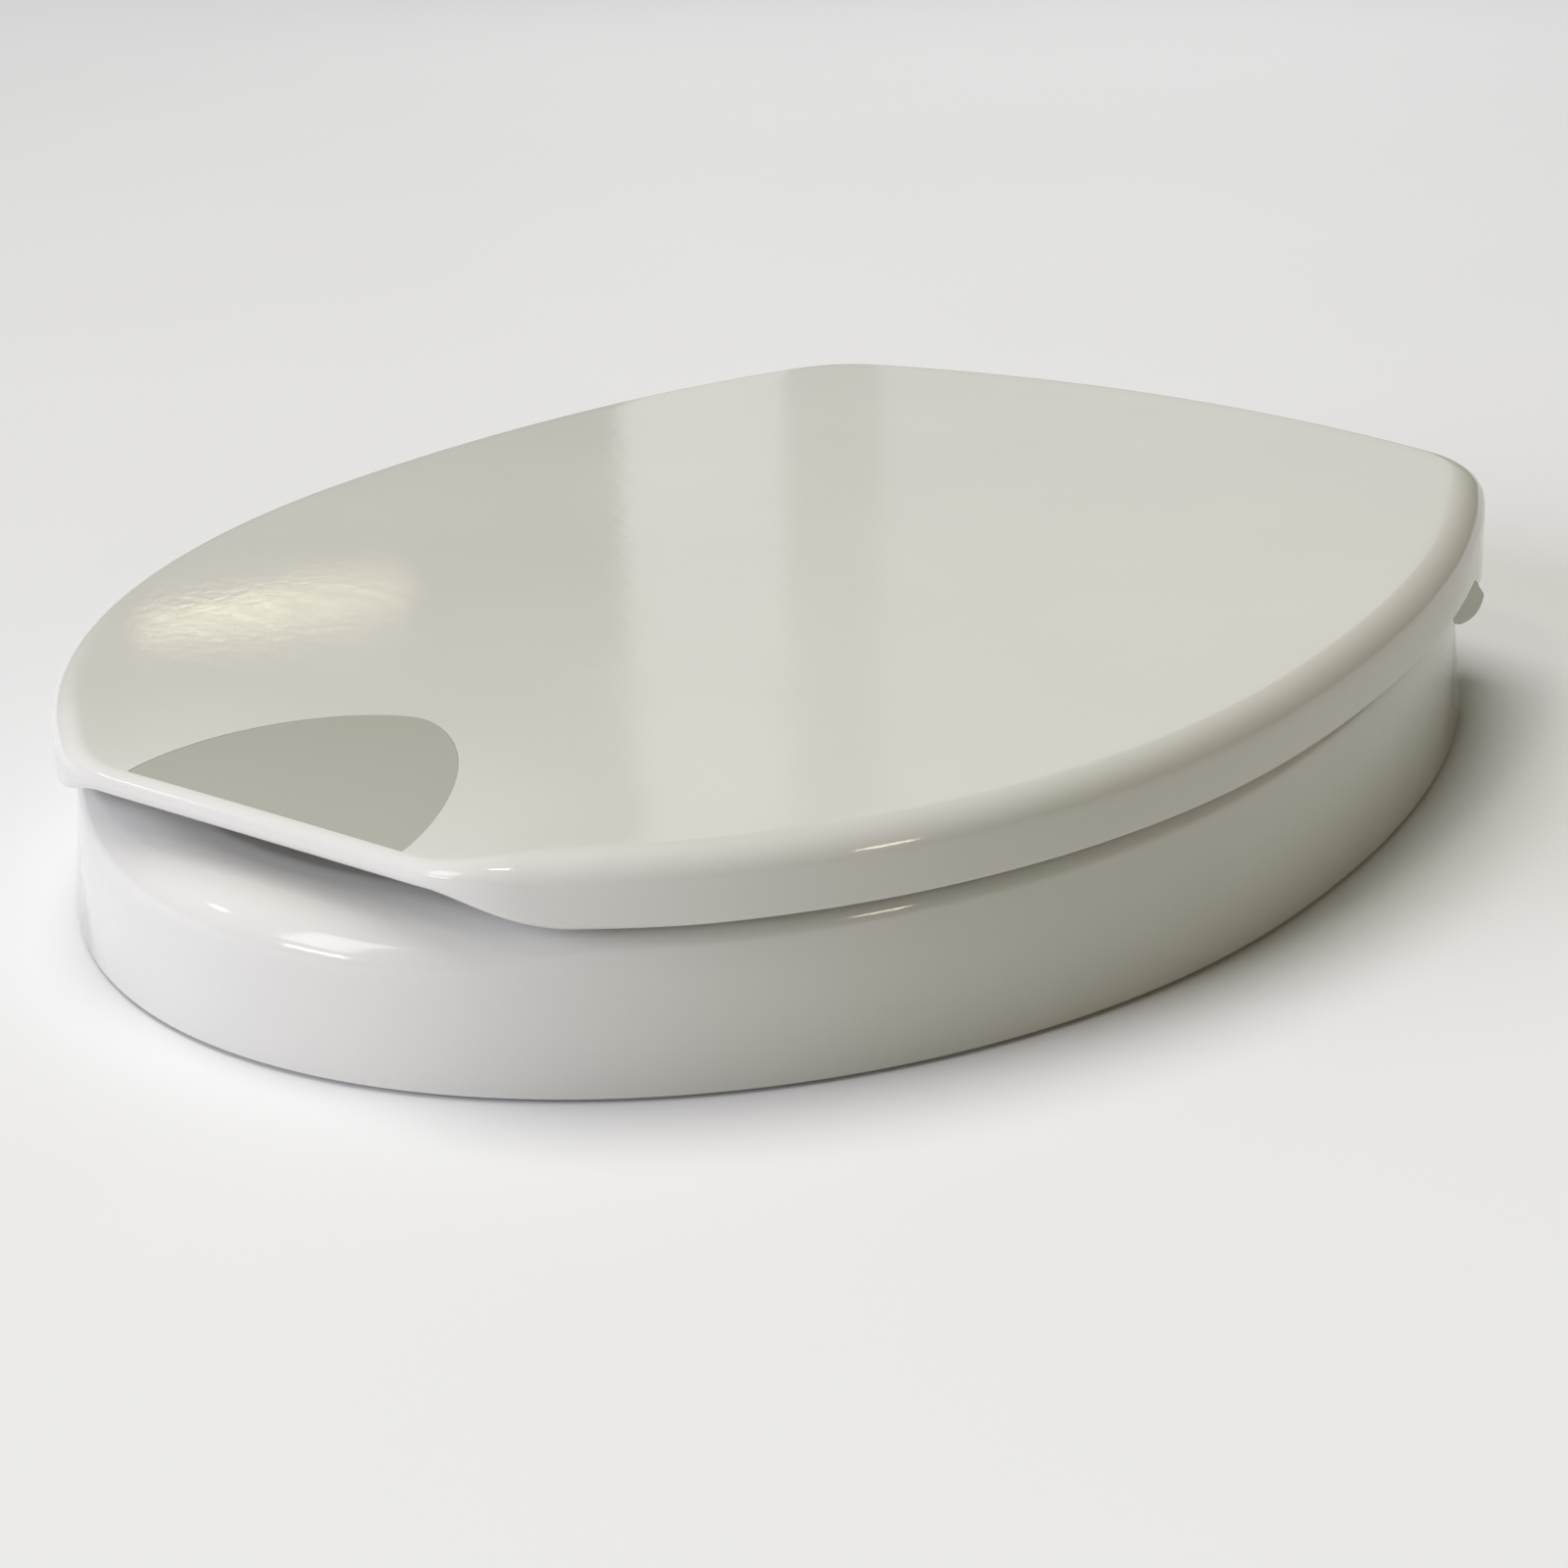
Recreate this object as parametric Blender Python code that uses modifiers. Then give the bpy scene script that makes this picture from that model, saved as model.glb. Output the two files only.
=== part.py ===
"""Raised toilet seat: a hollow 50 mm riser ring bolted to the pan, and a lid hinged on its rear corners.

Metres, +Z up. The origin is midway between the two pan bolts, on the plane of the pan's rim.
The front of the seat points along -Y, and the user's left as seen from the front is -X.
"""

import math

import bmesh
import bpy
from mathutils import Matrix, Vector

COLLECTION = "raised_toilet_seat"
SIDES = (("left", -1), ("right", 1))
GAP = 0.0003

# Plan of both mouldings: half ellipses that meet on the widest line, and a bowed tail.
WIDEST_Y = -0.172
TOP_SLOPE = 0.0126
LID_HALF_WIDTH = 0.185
LID_NOSE = 0.2266
LID_TAIL = 0.3065
LID_REAR_Y = 0.0471
LID_REAR_BOW = 0.0158
LID_BOW_HALF = 0.12
LID_CORNER = 0.0214
LIP_Y = -0.3825
LIP_ROUND = 0.016
RISER_HALF_WIDTH = 0.1837
RISER_NOSE = 0.2246
RISER_TAIL = 0.2921
RISER_REAR_Y = 0.0236
RISER_CORNER = 0.026
CORNER_REACH = 1.35
STATIONS = 72
CORNER_DENSITY = 0.06

# Riser ring.
RISER_FOOT_Z = 0.0008
RISER_TOP = 0.0487
RISER_TAPER = 0.0945
RISER_EDGE = 0.008
RISER_EDGE_REACH = 0.009
FRONT_EDGE = 0.0165
FRONT_EDGE_REACH = 0.021
FRONT_EDGE_START = -0.362
FRONT_EDGE_FADE = 0.028
RISER_WALL = 0.0045
OPENING_Y = -0.1995
OPENING_HALF_LENGTH = 0.1375
OPENING_HALF_WIDTH = 0.110
OPENING_POWER = 2.2
OPENING_EDGE = 0.009
SEAT_DISH = 0.0015
DECK_DEPTH = 0.003
FIXING_FLOOR_Z = 0.0065
PILOT_TOP_Z = 0.022

# Base plate, its screws and the rubber pads under it.
PLATE_Z = 0.003
PLATE_THICKNESS = 0.003
PLATE_MARGIN = 0.0056
PLATE_SCREW_ANGLES = (22, 68, 112, 158, 205, 245, 295, 335)
SCREW_RADIUS = 0.0015
SCREW_HEAD_RADIUS = 0.0035
SCREW_HEAD_HEIGHT = 0.0018
SCREW_LENGTH = 0.014
BOSS_RADIUS = 0.0045
PAD_ANGLES = (0, 45, 135, 180, 228, 312)
PAD_RADIUS = 0.013

# Pan fixings, one on each side.
BOLT_SPACING = 0.155
BOLT_RADIUS = 0.004
BOLT_CLEARANCE = 0.0005
BOLT_END_Z = -0.072
BOLT_HEAD_RADIUS = 0.0074
BOLT_HEAD_HEIGHT = 0.005
TOWER_RADIUS = 0.0145
WELL_RADIUS = 0.0108
WELL_FLOOR_Z = 0.022
WELL_TOP_Z = 0.070
HOLE_BOTTOM_Z = -0.010
HOLE_TOP_Z = 0.030
WASHER_RADIUS = 0.0095
WASHER_THICKNESS = 0.0015
CONE_TOP_Z = -0.030
CONE_HEIGHT = 0.012
CONE_RADIUS = 0.015
NUT_RADIUS = 0.0085
NUT_HEIGHT = 0.010
WING_SPAN = 0.044
WING_HALF_THICKNESS = 0.002
CAP_DEPTH = 0.006
CAP_WALL = 0.0015
CAP_SINK = 0.0006

# Lid.
LID_EDGE_TOP = 0.0689
LID_SEAM = 0.0497
LID_WALL = 0.0038
LID_EDGE = 0.009
LID_CROWN = 0.002
LIP_EDGE = 0.0040
LIP_EDGE_FADE = 0.035
LIP_DIP = 0.0033
LIP_DIP_START = -0.147
LIP_DIP_LENGTH = 0.0545
LIP_DIP_HALF = 0.050
LIP_RAISE = 0.0083
LIP_FLAT_HALF = 0.058
LIP_END_HALF = 0.094
EAR_SKIRT_Z = 0.0415
EAR_SKIRT_START = 0.150
EAR_SKIRT_FADE = 0.035
REAR_SKIRT_Z = 0.056
REAR_SKIRT_START = 0.190
REAR_SKIRT_HALF = 0.140
REAR_SKIRT_FADE = 0.010

# Hinge: ears on the lid turn outside knuckles on the riser.
AXIS_Y = 0.0285
AXIS_Z = 0.038
EAR_Y = 0.028
EAR_Z = 0.034
EAR_RADIUS = 0.013
EAR_POWER = 2.7
EAR_INNER_X = 0.1295
EAR_OUTER_X = 0.136
EAR_WEB_Y = 0.0345
EAR_WEB_Z = 0.0308
EAR_SLOPE_Z = 0.050
EAR_ROOF_Y = 0.0245
KNUCKLE_RADIUS = 0.0085
KNUCKLE_INNER_X = 0.104
KNUCKLE_OUTER_X = 0.1289
BLOCK_OUTER_X = 0.1285
BLOCK_FRONT_Y = -0.008
BLOCK_REAR_Y = 0.0208
POCKET_RADIUS = 0.0184
POCKET_START_X = 0.1290
POCKET_END_X = 0.165
BORE_START_X = 0.100
BORE_END_X = 0.135
PIN_RADIUS = 0.0025
PIN_HEAD_RADIUS = 0.0042
PIN_HEAD_LENGTH = 0.002
BUSH_RADIUS = 0.004
BUSH_DEPTH = 0.0048

# Grey insert in the lid's front and the buffers under the lid.
INLAY_HALF_WIDTH = 0.0496
INLAY_FRONT_Y = -0.3787
INLAY_REAR_Y = -0.318
INLAY_POWER = 1.6
INLAY_THICKNESS = 0.0012
INLAY_POCKET = 0.0016
BUFFER_POINTS = ((0.120, -0.300), (0.140, -0.075))
BUFFER_RADIUS = 0.0085

SHELL_COLOUR = (0.66, 0.64, 0.58)
INLAY_COLOUR = (0.45, 0.46, 0.40)


# ---------------------------------------------------------------- scene set-up


def clear_scene():
    for obj in list(bpy.data.objects):
        bpy.data.objects.remove(obj, do_unlink=True)


def new_collection(name):
    collection = bpy.data.collections.new(name)
    bpy.context.scene.collection.children.link(collection)
    return collection


def material(name, colour, roughness, metallic=0.0):
    made = bpy.data.materials.new(name)
    made.use_nodes = True
    shader = made.node_tree.nodes["Principled BSDF"]
    shader.inputs["Base Color"].default_value = (*colour, 1.0)
    shader.inputs["Roughness"].default_value = roughness
    shader.inputs["Metallic"].default_value = metallic
    return made


def add_object(name, data, collection, colour=None):
    obj = bpy.data.objects.new(name, data)
    collection.objects.link(obj)
    if colour:
        obj.data.materials.append(colour)
    return obj


def mesh_object(name, bm, collection, colour=None, smooth_angle=35):
    bmesh.ops.recalc_face_normals(bm, faces=bm.faces[:])
    mesh = bpy.data.meshes.new(name)
    bm.to_mesh(mesh)
    bm.free()
    mesh.shade_smooth()
    mesh.set_sharp_from_angle(angle=math.radians(smooth_angle))
    return add_object(name, mesh, collection, colour)


def combine(obj, cutter, operation):
    """Add a boolean with another solid, which is hidden from then on."""
    cutter.hide_render = True
    cutter.display_type = "WIRE"
    modifier = obj.modifiers.new(f"{operation.lower()}_{cutter.name}", "BOOLEAN")
    modifier.operation = operation
    modifier.object = cutter
    modifier.solver = "EXACT"


def solidify(obj, thickness):
    modifier = obj.modifiers.new("wall", "SOLIDIFY")
    modifier.thickness = thickness
    modifier.offset = -1.0
    modifier.use_even_offset = True


def hang_on(obj, pivot):
    """Parent obj to the pivot empty and keep its place."""
    obj.parent = pivot
    obj.matrix_parent_inverse = Matrix.Translation(-pivot.location)


# ---------------------------------------------------------------- plan outlines


def ellipse_x(y, half_width, length):
    return half_width * math.sqrt(max(0.0, 1.0 - ((y - WIDEST_Y) / length) ** 2))


def arc_between(start, corner, end, steps):
    """Quadratic curve that rounds the corner between two tangent points."""
    points = []
    for i in range(1, steps):
        t = i / steps
        points.append(start * (1 - t) ** 2 + corner * 2 * t * (1 - t) + end * t * t)
    return points


def front_points(half_width, nose, lip_y):
    """Right half of the front, from the middle to the widest line."""
    points = []
    first = 0.5 * math.pi
    if lip_y is not None:
        cut = (WIDEST_Y - lip_y) / nose
        end_x = half_width * math.sqrt(1.0 - cut * cut) + LIP_ROUND
        first = math.acos(end_x / half_width)
        end = Vector((end_x, WIDEST_Y - nose * math.sin(first)))
        slope = (nose / half_width) * math.cos(first) / math.sin(first)
        corner = Vector((end_x - (end.y - lip_y) / slope, lip_y))
        start = Vector((corner.x - LIP_ROUND, lip_y))
        points = [Vector((start.x * i / 6, lip_y)) for i in range(7)]
        points += arc_between(start, corner, end, 10)
    for i in range(61):
        angle = first * (1 - i / 60)
        points.append(Vector((half_width * math.cos(angle), WIDEST_Y - nose * math.sin(angle))))
    return points


def tail_points(half_width, tail, rear_y, bow, corner):
    """Right half of the tail, from the widest line to the middle of the rear edge."""
    side_end = rear_y - corner
    points = []
    for i in range(1, 40):
        y = WIDEST_Y + (side_end - WIDEST_Y) * i / 39
        points.append(Vector((ellipse_x(y, half_width, tail), y)))
    start = points[-1]
    lean = (half_width / tail) ** 2 * (start.y - WIDEST_Y) / start.x
    end_x = start.x - CORNER_REACH * corner
    end = Vector((end_x, rear_y + bow * (1 - (end_x / LID_BOW_HALF) ** 2)))
    rise = -2 * bow * end_x / LID_BOW_HALF**2
    y = (end.y + rise * (start.x + lean * start.y - end_x)) / (1 + rise * lean)
    points += arc_between(start, Vector((start.x - lean * (y - start.y), y)), end, 12)
    for i in range(21):
        x = end_x * (1 - i / 20)
        points.append(Vector((x, rear_y + bow * (1 - (x / LID_BOW_HALF) ** 2))))
    return points


def turn_at(points, i):
    before = points[i] - points[i - 1]
    after = points[i + 1] - points[i]
    if min(before.length, after.length) < 1e-7:
        return 0.0
    return abs(before.angle_signed(after, 0.0))


def resample(points, count):
    """Spread count + 1 points along the line, closer together where it turns."""
    reach = [0.0]
    for i in range(1, len(points)):
        turn = turn_at(points, i) if i + 1 < len(points) else 0.0
        reach.append(reach[-1] + (points[i] - points[i - 1]).length + CORNER_DENSITY * turn)
    spread = []
    i = 0
    for k in range(count + 1):
        target = reach[-1] * k / count
        while i + 2 < len(points) and reach[i + 1] < target:
            i += 1
        t = (target - reach[i]) / (reach[i + 1] - reach[i])
        spread.append(points[i].lerp(points[i + 1], min(1.0, max(0.0, t))))
    return spread


def close_outline(half):
    """Mirror a right half into a closed outline that runs anticlockwise seen from above."""
    left = [Vector((-p.x, p.y)) for p in reversed(half[1:-1])]
    return half + left


def inward_normals(outline):
    normals = []
    count = len(outline)
    for i in range(count):
        along = outline[(i + 1) % count] - outline[i - 1]
        normals.append(Vector((-along.y, along.x)).normalized())
    return normals


def lid_outline(stations=STATIONS):
    half = front_points(LID_HALF_WIDTH, LID_NOSE, LIP_Y)
    half += tail_points(LID_HALF_WIDTH, LID_TAIL, LID_REAR_Y, LID_REAR_BOW, LID_CORNER)
    return close_outline(resample(half, stations // 2))


def riser_outline(stations=STATIONS):
    half = front_points(RISER_HALF_WIDTH, RISER_NOSE, None)
    half += tail_points(RISER_HALF_WIDTH, RISER_TAIL, RISER_REAR_Y, 0.0, RISER_CORNER)
    return close_outline(resample(half, stations // 2))


def opening_point(angle, margin=0.0):
    """Point of the seat's opening at an angle about its centre."""
    c = math.cos(angle)
    s = math.sin(angle)
    wide = abs(c / (OPENING_HALF_WIDTH + margin)) ** OPENING_POWER
    long = abs(s / (OPENING_HALF_LENGTH + margin)) ** OPENING_POWER
    radius = (wide + long) ** (-1.0 / OPENING_POWER)
    return Vector((radius * c, OPENING_Y + radius * s))


def opening_angle(point):
    return math.atan2(point.y - OPENING_Y, point.x)


# ---------------------------------------------------------------- surfaces


def smooth_step(t):
    t = min(1.0, max(0.0, t))
    return t * t * (3 - 2 * t)


def sloped(height, y):
    return height + TOP_SLOPE * (y - WIDEST_Y)


def lid_top(x, y):
    """Height of the lid's upper surface."""
    length = LID_NOSE if y < WIDEST_Y else LID_TAIL
    reach = (x / LID_HALF_WIDTH) ** 2 + ((y - WIDEST_Y) / length) ** 2
    crown = LID_CROWN * max(0.0, 1.0 - reach)
    depth = max(0.0, LIP_DIP_START - (y - WIDEST_Y)) / LIP_DIP_LENGTH
    fade = 1.0 - smooth_step((abs(x) - LIP_DIP_HALF) / LIP_DIP_HALF)
    return sloped(LID_EDGE_TOP, y) + crown - LIP_DIP * depth * depth * fade


def lid_bottom(point):
    """Height of the skirt's lower edge: raised over the lip, lower at the ears, high at the rear."""
    seam = sloped(LID_SEAM, point.y)
    beyond = point.y - WIDEST_Y
    if beyond < 0:
        span = LIP_END_HALF - LIP_FLAT_HALF
        return seam + LIP_RAISE * (1 - smooth_step((abs(point.x) - LIP_FLAT_HALF) / span))
    ear = smooth_step((beyond - EAR_SKIRT_START) / EAR_SKIRT_FADE)
    low = seam + (EAR_SKIRT_Z - seam) * ear
    if beyond < REAR_SKIRT_START:
        return low
    rear = smooth_step((REAR_SKIRT_HALF - abs(point.x)) / REAR_SKIRT_FADE)
    return low + (REAR_SKIRT_Z - low) * rear


def loft(rows, closed_last=None):
    """Quads between closed rows of points; closed_last is a point that closes the last row."""
    bm = bmesh.new()
    made = [[bm.verts.new(p) for p in row] for row in rows]
    count = len(rows[0])
    for lower, upper in zip(made, made[1:]):
        for i in range(count):
            k = (i + 1) % count
            bm.faces.new((lower[i], lower[k], upper[k], upper[i]))
    if closed_last is not None:
        tip = bm.verts.new(closed_last)
        for i in range(count):
            bm.faces.new((made[-1][i], made[-1][(i + 1) % count], tip))
    return bm


def lid_rows():
    outline = lid_outline()
    normals = inward_normals(outline)
    rows = []
    for level, degrees in enumerate((0, 0, 30, 60, 90)):
        row = []
        for point, normal in zip(outline, normals):
            lip = 1 - smooth_step((abs(point.x) - LIP_FLAT_HALF) / LIP_EDGE_FADE)
            edge = LID_EDGE + (LIP_EDGE - LID_EDGE) * lip * (point.y < WIDEST_Y)
            angle = math.radians(degrees)
            spot = point + normal * edge * (1 - math.cos(angle))
            rim = point + normal * edge
            z = lid_top(rim.x, rim.y) - edge * (1 - math.sin(angle))
            if level == 0:
                z = lid_bottom(point)
            row.append(Vector((spot.x, spot.y, z)))
        rows.append(row)
    rim_row = rows[-1]
    centre = Vector((0.0, WIDEST_Y))
    for share in (0.15, 0.4, 0.7):
        row = []
        for edge_point in rim_row:
            spot = Vector((edge_point.x, edge_point.y)).lerp(centre, share)
            row.append(Vector((spot.x, spot.y, lid_top(spot.x, spot.y))))
        rows.append(row)
    return rows, Vector((0.0, WIDEST_Y, lid_top(0.0, WIDEST_Y)))


def riser_edge(y):
    """Height and reach of the ring's rounded shoulder, which is wider at the front."""
    front = smooth_step((FRONT_EDGE_START - y) / FRONT_EDGE_FADE)
    height = RISER_EDGE + (FRONT_EDGE - RISER_EDGE) * front
    return height, RISER_EDGE_REACH + (FRONT_EDGE_REACH - RISER_EDGE_REACH) * front


def riser_rows():
    outline = riser_outline()
    normals = inward_normals(outline)
    rows = []
    for level, degrees in enumerate((0, 0, 30, 60, 90)):
        row = []
        for point, normal in zip(outline, normals):
            edge, reach = riser_edge(point.y)
            shoulder = sloped(RISER_TOP, point.y) - edge
            angle = math.radians(degrees)
            z = RISER_FOOT_Z if level == 0 else shoulder + edge * math.sin(angle)
            inset = RISER_TAPER * min(z, shoulder) + reach * (1 - math.cos(angle))
            spot = point + normal * inset
            row.append(Vector((spot.x, spot.y, z)))
        rows.append(row)
    inner = [opening_angle(point) for point in outline]
    middle = []
    for edge_point, angle in zip(rows[-1], inner):
        rim = opening_point(angle, OPENING_EDGE)
        spot = Vector((edge_point.x, edge_point.y)).lerp(rim, 0.5)
        middle.append(Vector((spot.x, spot.y, sloped(RISER_TOP, spot.y) - SEAT_DISH)))
    rows.append(middle)
    for degrees in (90, 45, 0):
        row = []
        for angle in inner:
            turn = math.radians(degrees)
            spot = opening_point(angle, OPENING_EDGE * (1 - math.cos(turn)))
            top = sloped(RISER_TOP, spot.y)
            row.append(Vector((spot.x, spot.y, top - OPENING_EDGE * (1 - math.sin(turn)))))
        rows.append(row)
    foot = [opening_point(angle) for angle in inner]
    rows.append([Vector((p.x, p.y, RISER_FOOT_Z)) for p in foot])
    return rows


# ---------------------------------------------------------------- simple solids


def cylinder(name, radius, low, high, collection, colour=None, sides=24):
    """Cylinder between two points on one axis."""
    low = Vector(low)
    high = Vector(high)
    bm = bmesh.new()
    bmesh.ops.create_cone(
        bm, cap_ends=True, segments=sides, radius1=radius, radius2=radius, depth=(high - low).length
    )
    obj = mesh_object(name, bm, collection, colour)
    obj.location = (low + high) / 2
    obj.rotation_euler = (high - low).to_track_quat("Z", "Y").to_euler()
    return obj


def box(name, low, high, collection, colour=None):
    low = Vector(low)
    high = Vector(high)
    bm = bmesh.new()
    bmesh.ops.create_cube(bm, size=1.0, matrix=Matrix.Diagonal((*(high - low), 1.0)))
    obj = mesh_object(name, bm, collection, colour)
    obj.location = (low + high) / 2
    return obj


def turned(name, profile, location, collection, colour, sides=24):
    """Solid turned about Z from (radius, height) points that run down the outer side."""
    mesh = bpy.data.meshes.new(name)
    edges = [(i, i + 1) for i in range(len(profile) - 1)]
    mesh.from_pydata([(r, 0.0, z) for r, z in profile], edges, [])
    obj = add_object(name, mesh, collection, colour)
    obj.location = location
    screw = obj.modifiers.new("turn", "SCREW")
    screw.axis = "Z"
    screw.steps = sides
    screw.render_steps = sides
    screw.use_merge_vertices = True
    screw.merge_threshold = 0.00005
    screw.use_smooth_shade = True
    return obj


def turned_ring(name, profile, location, collection, colour, sides=24):
    """Ring turned about Z from a closed (radius, height) profile."""
    return turned(name, [*profile, profile[0]], location, collection, colour, sides)


# ---------------------------------------------------------------- riser group


def polar(degrees):
    """Middle of the seat ring at an angle about the opening's centre."""
    angle = math.radians(degrees)
    inner = opening_point(angle)
    direction = Vector((math.cos(angle), math.sin(angle)))
    best = max(riser_outline(), key=lambda p: (p - Vector((0, OPENING_Y))).normalized().dot(direction))
    return inner.lerp(best, 0.5)


def add_fixing_blocks(riser, cutters):
    """Bolt tower, hinge block and knuckle on each side, up to just under the seat."""
    deck = sloped(RISER_TOP, 0.0) - DECK_DEPTH
    for side, sign in SIDES:
        x = sign * BOLT_SPACING / 2
        near, far = sorted((sign * KNUCKLE_INNER_X, sign * BLOCK_OUTER_X))
        low = (near, BLOCK_FRONT_Y, FIXING_FLOOR_Z)
        high = (far, BLOCK_REAR_Y, deck)
        ends = [(sign * inboard, AXIS_Y, AXIS_Z) for inboard in (KNUCKLE_INNER_X, KNUCKLE_OUTER_X)]
        foot = (x, 0, FIXING_FLOOR_Z)
        combine(riser, cylinder(f"tower_{side}", TOWER_RADIUS, foot, (x, 0, deck), cutters), "UNION")
        combine(riser, box(f"hinge_block_{side}", low, high, cutters), "UNION")
        combine(riser, cylinder(f"knuckle_{side}", KNUCKLE_RADIUS, *ends, cutters), "UNION")


def add_screw_bosses(riser, cutters):
    for index, degrees in enumerate(PLATE_SCREW_ANGLES, 1):
        spot = polar(degrees)
        foot = (*spot, FIXING_FLOOR_Z)
        top = (*spot, sloped(RISER_TOP, spot.y) - DECK_DEPTH)
        combine(riser, cylinder(f"boss_{index}", BOSS_RADIUS, foot, top, cutters, sides=12), "UNION")
        ends = ((*spot, 0.0), (*spot, PILOT_TOP_Z))
        pilot = cylinder(f"pilot_{index}", SCREW_RADIUS + GAP, *ends, cutters, sides=12)
        combine(riser, pilot, "DIFFERENCE")


def bore_fixings(riser, cutters):
    """Bolt wells and holes, pockets for the lid's ears, and the pin bores."""
    for side, sign in SIDES:
        x = sign * BOLT_SPACING / 2
        ends = ((x, 0, WELL_FLOOR_Z), (x, 0, WELL_TOP_Z))
        combine(riser, cylinder(f"well_{side}", WELL_RADIUS, *ends, cutters), "DIFFERENCE")
        ends = ((x, 0, HOLE_BOTTOM_Z), (x, 0, HOLE_TOP_Z))
        hole = cylinder(f"bolt_hole_{side}", BOLT_RADIUS + BOLT_CLEARANCE, *ends, cutters)
        combine(riser, hole, "DIFFERENCE")
        ends = [(sign * across, AXIS_Y, AXIS_Z) for across in (POCKET_START_X, POCKET_END_X)]
        pocket = cylinder(f"ear_pocket_{side}", POCKET_RADIUS, *ends, cutters, sides=32)
        combine(riser, pocket, "DIFFERENCE")
        ends = [(sign * across, AXIS_Y, AXIS_Z) for across in (BORE_START_X, BORE_END_X)]
        bore = cylinder(f"pin_bore_{side}", PIN_RADIUS + GAP, *ends, cutters, sides=16)
        combine(riser, bore, "DIFFERENCE")


def make_riser(parts, cutters, colour):
    riser = mesh_object("riser_shell", loft(riser_rows()), parts, colour)
    solidify(riser, RISER_WALL)
    add_fixing_blocks(riser, cutters)
    add_screw_bosses(riser, cutters)
    bore_fixings(riser, cutters)


def add_spline(curve, points):
    spline = curve.splines.new("POLY")
    spline.points.add(len(points) - 1)
    for target, point in zip(spline.points, points):
        target.co = (point.x, point.y, 0.0, 1.0)
    spline.use_cyclic_u = True


def circle_points(centre, radius, count):
    turns = [2 * math.pi * i / count for i in range(count)]
    return [centre + Vector((math.cos(t), math.sin(t))) * radius for t in turns]


def make_base_plate(parts, colour):
    curve = bpy.data.curves.new("base_plate", "CURVE")
    curve.dimensions = "2D"
    curve.fill_mode = "BOTH"
    curve.extrude = PLATE_THICKNESS / 2
    outline = riser_outline()
    margin = PLATE_MARGIN
    outer = [p + n * margin for p, n in zip(outline, inward_normals(outline))]
    add_spline(curve, outer)
    add_spline(curve, [opening_point(opening_angle(p), margin) for p in outline])
    for sign in (-1, 1):
        centre = Vector((sign * BOLT_SPACING / 2, 0))
        add_spline(curve, circle_points(centre, BOLT_RADIUS + BOLT_CLEARANCE, 20))
    for degrees in PLATE_SCREW_ANGLES:
        add_spline(curve, circle_points(polar(degrees), SCREW_RADIUS + GAP, 12))
    plate = add_object("base_plate", curve, parts, colour)
    plate.location.z = PLATE_Z + PLATE_THICKNESS / 2


def make_base_screws(parts, colour):
    head_top = PLATE_Z - GAP
    profile = (
        (0.0, SCREW_LENGTH + head_top),
        (SCREW_RADIUS * 0.5, SCREW_LENGTH + head_top),
        (SCREW_RADIUS, SCREW_LENGTH + head_top - 0.0015),
        (SCREW_RADIUS, head_top),
        (SCREW_HEAD_RADIUS, head_top),
        (SCREW_HEAD_RADIUS * 0.75, head_top - SCREW_HEAD_HEIGHT),
        (0.0, head_top - SCREW_HEAD_HEIGHT),
    )
    for index, degrees in enumerate(PLATE_SCREW_ANGLES, 1):
        spot = polar(degrees)
        turned(f"base_screw_{index}", profile, (spot.x, spot.y, 0.0), parts, colour, sides=12)


def make_rim_pads(parts, colour):
    top = PLATE_Z - GAP
    profile = ((0.0, top), (PAD_RADIUS, top), (PAD_RADIUS, 0.0006), (PAD_RADIUS - 0.0006, 0.0), (0.0, 0.0))
    for index, degrees in enumerate(PAD_ANGLES, 1):
        spot = polar(degrees)
        turned(f"rim_pad_{index}", profile, (spot.x, spot.y, 0.0), parts, colour, sides=20)


# ---------------------------------------------------------------- pan fixings


def make_pan_bolt(name, x, parts, cutters, colour):
    base = WELL_FLOOR_Z + WASHER_THICKNESS + 2 * GAP
    shaft = turned(
        name,
        (
            (0.0, base + 0.002),
            (BOLT_RADIUS, base + 0.002),
            (BOLT_RADIUS, BOLT_END_Z + 0.001),
            (BOLT_RADIUS - 0.001, BOLT_END_Z),
            (0.0, BOLT_END_Z),
        ),
        (x, 0.0, 0.0),
        parts,
        colour,
    )
    head_top = (x, 0, base + BOLT_HEAD_HEIGHT)
    head = cylinder(f"{name}_head", BOLT_HEAD_RADIUS, (x, 0, base), head_top, cutters, sides=6)
    combine(shaft, head, "UNION")


def make_wing_nut(name, x, parts, cutters, colour):
    top = CONE_TOP_Z - CONE_HEIGHT - GAP
    bottom = top - NUT_HEIGHT
    nut = box(
        name,
        (x - WING_SPAN / 2, -WING_HALF_THICKNESS, bottom + 0.001),
        (x + WING_SPAN / 2, WING_HALF_THICKNESS, top - 0.002),
        parts,
        colour,
    )
    bevel = nut.modifiers.new("soft_edges", "BEVEL")
    bevel.width = 0.0012
    bevel.segments = 2
    core = cylinder(f"{name}_core", NUT_RADIUS, (x, 0, bottom), (x, 0, top), cutters)
    ends = ((x, 0, bottom - NUT_HEIGHT), (x, 0, top + NUT_HEIGHT))
    thread = cylinder(f"{name}_thread", BOLT_RADIUS + GAP, *ends, cutters)
    combine(nut, core, "UNION")
    combine(nut, thread, "DIFFERENCE")


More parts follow.
